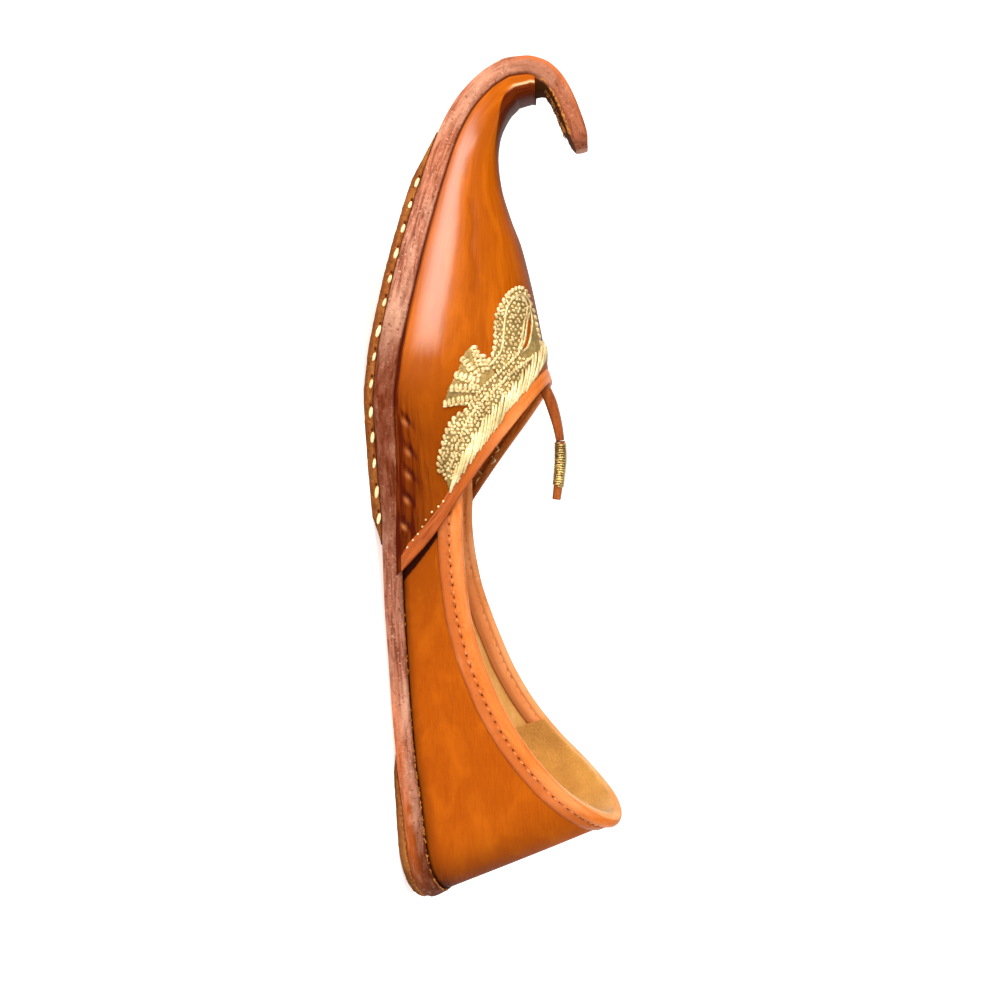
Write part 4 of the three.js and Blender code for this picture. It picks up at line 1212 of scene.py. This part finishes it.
def laid(pixels, pitch, lift):
    """Places, facings and headings along a line of the picture, laid on both sides of the vamp."""
    points, normals = seen(drawn(pixels, 10))
    heading = unit(np.gradient(points, axis=0))
    place, facing, heading = spaced(points + normals * lift, (normals, heading), pitch, pitch / 2)
    return [np.vstack([v, v * FLIP]) for v in (place, facing, heading)]


sewing("mouth_stitches", [laid(MOUTH_STITCHES, MOUTH_PITCH, 0.45)], MOUTH_STITCH, sole_cord)

# Embroidery
# A paisley lobe, a fan of finger petals and a leaf in gold thread, worked on both sides of the vamp: a
# couched ground, beaded outlines, knots, cords, and long satin strands along the mouth. Lines are pixels of
# the picture.
LOBE_EDGE = ((636, 298), (631, 289), (625, 286.5), (617, 290.5), (611, 297), (605.5, 307), (602, 316),
             (601, 330), (600.7, 344), (598, 355), (592.5, 362.5))
LOBE_INNER = ((632, 300), (627, 294.5), (621, 296), (616, 301.5), (612, 310), (610.5, 320), (609.5, 332),
              (608.5, 343), (606, 352), (600, 360), (594, 366))
LOBE_RIGHT = ((629, 292), (635.5, 301), (636, 309), (633.5, 318), (632, 328), (630.5, 339), (627.5, 347))
LOBE_BACK = ((627.5, 347), (622, 355), (614, 363), (605, 372), (594, 382), (584, 393), (574, 407))
RIDGE_CORD = ((636, 300), (639.5, 310), (642, 321), (644.5, 332), (646.5, 342), (648, 351))
RIDGE_FILL = ((634, 298), (637, 301), (641, 312), (644, 323), (647, 335), (650, 352), (640, 358), (628, 362),
              (624, 356), (629, 350), (633.5, 346), (636, 338), (637.5, 329), (638, 320), (636.5, 309))
SLIT_CORD = ((636.5, 309), (638, 320), (637.5, 329), (636, 338), (633.5, 346), (628, 351))
LOWER_CORD = ((640, 355), (630, 362), (619, 371), (604, 385), (591, 398), (582, 408), (575, 419))
LEAF_SPINE = ((575, 419), (567, 436), (560, 455), (555, 470))
LEAF_EDGE = ((574, 409), (568, 412), (562, 416), (557, 422), (553, 430), (550.5, 438), (548, 447), (546, 455),
             (544.5, 464), (546, 472), (551, 475))
PETALS = (((590, 371), (579, 343.5)), ((586, 377), (569, 358)), ((586, 381), (562, 374.5)),
          ((586, 387), (553.5, 388)), ((579, 397), (550.5, 403.5)), ((594, 371), (588.5, 354)))
FAN_FILL = ((579, 345), (572, 351), (569, 359), (562.5, 374), (555, 388), (551, 403), (572, 406), (590, 393),
            (603, 377), (598, 364), (589, 355), (586, 362))
SATIN_OUTER = ((651, 361), (646, 371), (640.5, 380), (628, 395), (617, 407.5), (606.5, 421.5), (595.5, 436.5),
               (585, 451.5), (574, 465), (565, 479), (556.5, 492))
SATIN_INNER = ((650, 340), (645, 348), (638, 358), (626, 377), (612, 393), (601, 405), (592, 416), (583, 430),
               (576, 441), (569, 455), (562, 467), (553, 480))
LOBE_FILL = LOBE_EDGE + ((605, 372), (614, 363), (622, 355)) + LOBE_RIGHT[::-1]
LEAF_FILL = LEAF_EDGE + ((554, 484), (557, 491), (566, 477), (572, 447), (585, 427), (598, 409), (613, 392),
                         (626, 378), (640, 355), (622, 358), (604, 376), (590, 390))
WORKED_X = (540, 656)
GROUND_Y = (284, 496)
KNOT_Y = (284, 480)
# Loose ends of the thread on the vamp's lining
THREAD_ENDS = (((603, 445), (606, 449), (603, 453)), ((599, 456), (602, 460), (598, 464)),
               ((586, 471), (589, 475), (585, 479), (583, 485)))
THREAD_END_RADIUS = 0.42
PETAL_WIDE = 3.1
PETAL_PITCH = 1.45
BEAD = (2.1, 1.35, 1.3)
BEAD_PITCH = 2.2
ROPE = (1.65, 1.0, 1.0)
ROPE_PITCH = 1.35
KNOT = (1.4, 1.05, 0.9)
KNOT_PIXELS = 4.3
CORD_RADIUS = 0.42
GROUND_PIXELS = 1.1
GROUND_LIFT = 0.25
STRAND_PIXELS = 3.3
STRAND_LEAN = 6.5
STRAND_RADII = (0.62, 0.5)
zari = gold_thread("gold_zari_thread", "#9C7C3E", "#D0B274", "#FAE8B6", 0.4, 0.4)
# Satin strands: newer, paler gold thread laid side by side
pale_zari = gold_thread("pale_gold_zari_thread", "#AC8C4C", "#E0C68A", "#FCEEC0", 0.35, 0.4)
# Couched ground: older gold thread laid flat, khaki and dull, under the raised work
couched = gold_thread("couched_gold_ground", "#5A4418", "#92743A", "#B49858", 0.3, 0.55)


def inside(outline, pixels):
    """Which pixels lie inside an outline."""
    outline = np.asarray(outline, float)
    x, y = pixels[..., 0], pixels[..., 1]
    count = np.zeros(x.shape, int)
    for (ax, ay), (bx, by) in zip(outline, np.roll(outline, -1, 0)):
        crosses = (ay > y) != (by > y)
        count += crosses & (x < ax + (y - ay) / (by - ay if by != ay else 1) * (bx - ax))
    return count % 2 == 1


def slanted(rows, turn):
    """Rows of grains with their headings turned about their facings, alike on both sides of the vamp."""
    place, facing, heading = rows
    hand = np.repeat((1, -1), len(place) // 2)[:, None]
    return place, facing, unit(heading + turn * hand * np.cross(facing, heading))


cells = np.stack(np.meshgrid(np.arange(*WORKED_X, GROUND_PIXELS), np.arange(*GROUND_Y, GROUND_PIXELS)), -1)
filled = np.zeros(cells.shape[:2], bool)
for outline in (LOBE_FILL, LEAF_FILL, FAN_FILL, RIDGE_FILL, SATIN_OUTER + SATIN_INNER[::-1]):
    filled |= inside(outline, cells)
filled[[0, -1]] = False
filled[:, [0, -1]] = False
rows, cols = np.nonzero(filled)
corner = np.arange(filled.size).reshape(filled.shape)
top = np.stack([corner[rows + down, cols + right] for down, right in ((0, 0), (0, 1), (1, 1), (1, 0))], -1)
used, top = np.unique(top, return_inverse=True)
top = top.reshape(-1, 4)
count = len(used)
walls = [(u, v) for quad in top.tolist() for u, v in zip(quad, quad[1:] + quad[:1])]
rim = set(walls) - {(v, u) for u, v in walls}
faces = [tuple(quad) for quad in top.tolist()]
faces += [tuple(v + count for v in quad[::-1]) for quad in top.tolist()]
faces += [(v, u, u + count, v + count) for u, v in sorted(rim)]
place, facing = seen(cells.reshape(-1, 2)[used] - GROUND_PIXELS / 2)
points = np.vstack([place + facing * GROUND_LIFT, place - facing * 0.4])
faces += [tuple(v + 2 * count for v in face[::-1]) for face in faces]
ground = put_mesh("embroidery_ground", np.vstack([points, points * FLIP]), faces, [couched])
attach(ground, "root")

beads = [slanted(laid(line, BEAD_PITCH, 0.4), 0.6) for line in (LOBE_EDGE, LEAF_EDGE, RIDGE_CORD)]
ropes = [slanted(laid(line, ROPE_PITCH, 0.5), 0.7) for line in (LOBE_BACK, LOWER_CORD, LEAF_SPINE)]
ribs, rib_sizes = [], []
for base, tip_pixel in PETALS:
    rows = slanted(laid((base, tip_pixel), PETAL_PITCH, 0.35), 4.0)
    ribs.append(rows)
    share = np.linspace(0, 1, len(rows[0]) // 2)
    wide = PETAL_WIDE * (0.5 + 0.5 * np.sin(np.pi * (0.1 + 0.7 * share)))
    rib_sizes.append(np.tile(np.stack([wide, 0 * wide + 1.5, 0 * wide + 1.5], -1), (2, 1)))
    aside = np.array((base[1] - tip_pixel[1], tip_pixel[0] - base[0])) / math.dist(base, tip_pixel)
    ropes.append(laid([np.add(base, -5 * aside), np.add(tip_pixel, -3 * aside)], 1.7, 0.4))

grid_x, grid_y = np.meshgrid(np.arange(*WORKED_X, KNOT_PIXELS), np.arange(*KNOT_Y, KNOT_PIXELS * 0.87))
grid_x[1::2] += KNOT_PIXELS / 2
field = np.stack([grid_x, grid_y], -1).reshape(-1, 2) + dice.uniform(-1.1, 1.1, (grid_x.size, 2))
field = field[inside(LOBE_FILL, field) | inside(LEAF_FILL, field)]
place, facing = seen(field)
loose = unit(np.cross(facing, dice.normal(size=facing.shape)))
knots = [[np.vstack([v, v * FLIP]) for v in (place + facing * 0.4, facing, loose)]]
for name, rows, size in (("embroidery_beads", beads, BEAD), ("embroidery_ropes", ropes, ROPE),
                         ("embroidery_knots", knots, KNOT)):
    piece = sewing(name, rows, size, zari)
petals = grains("embroidery_petals", *(np.vstack(part) for part in zip(*ribs)), np.vstack(rib_sizes), zari)

paths, radii = [], []
for line in (LOBE_INNER, LOBE_RIGHT, np.add(LOBE_RIGHT, (-3.2, 2)), SLIT_CORD):
    points, normals = seen(drawn(line, 8))
    lifted = points + normals * 0.45
    paths += [lifted, lifted * FLIP]
    radii += [np.full(len(lifted), CORD_RADIUS)] * 2
cords = threads("embroidery_cords", paths, radii, zari)

outer_x, outer_y = np.array(SATIN_OUTER)[::-1].T
inner_x, inner_y = np.array(SATIN_INNER)[::-1].T
share = np.linspace(0, 1, 7)[:, None]
taper = np.array((0.7, 1, 1, 1, 1, 0.95, 0.6))
paths, radii = [], []
for i, x in enumerate(np.arange(556.5, 650, STRAND_PIXELS)):
    low_pixel = np.array((x, np.interp(x, outer_x, outer_y) + dice.uniform(-2.5, 1.5)))
    bundle = 3.0 * math.sin(i * 2.1) + dice.uniform(-1, 1)
    lean = STRAND_LEAN * smoothstep(655, 640, x)
    top_pixel = np.array((x + lean, np.interp(x + lean, inner_x, inner_y) + bundle))
    points, normals = seen(low_pixel + (top_pixel - low_pixel) * share)
    lifted = points + normals * (0.25 + (0.5 + 0.35 * (i % 2)) * np.sin(np.pi * share) ** 0.6)
    paths += [lifted, lifted * FLIP]
    radii += [STRAND_RADII[i % 2] * taper] * 2
for line in THREAD_ENDS:
    points, normals = seen(drawn(line, 5), far_lining)
    lifted = points + normals * 0.3
    paths += [lifted, lifted * FLIP]
    radii += [np.full(len(lifted), THREAD_END_RADIUS)] * 2
satin = threads("embroidery_satin", paths, radii, pale_zari)
for piece in (petals, cords, satin):
    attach(piece, "root")
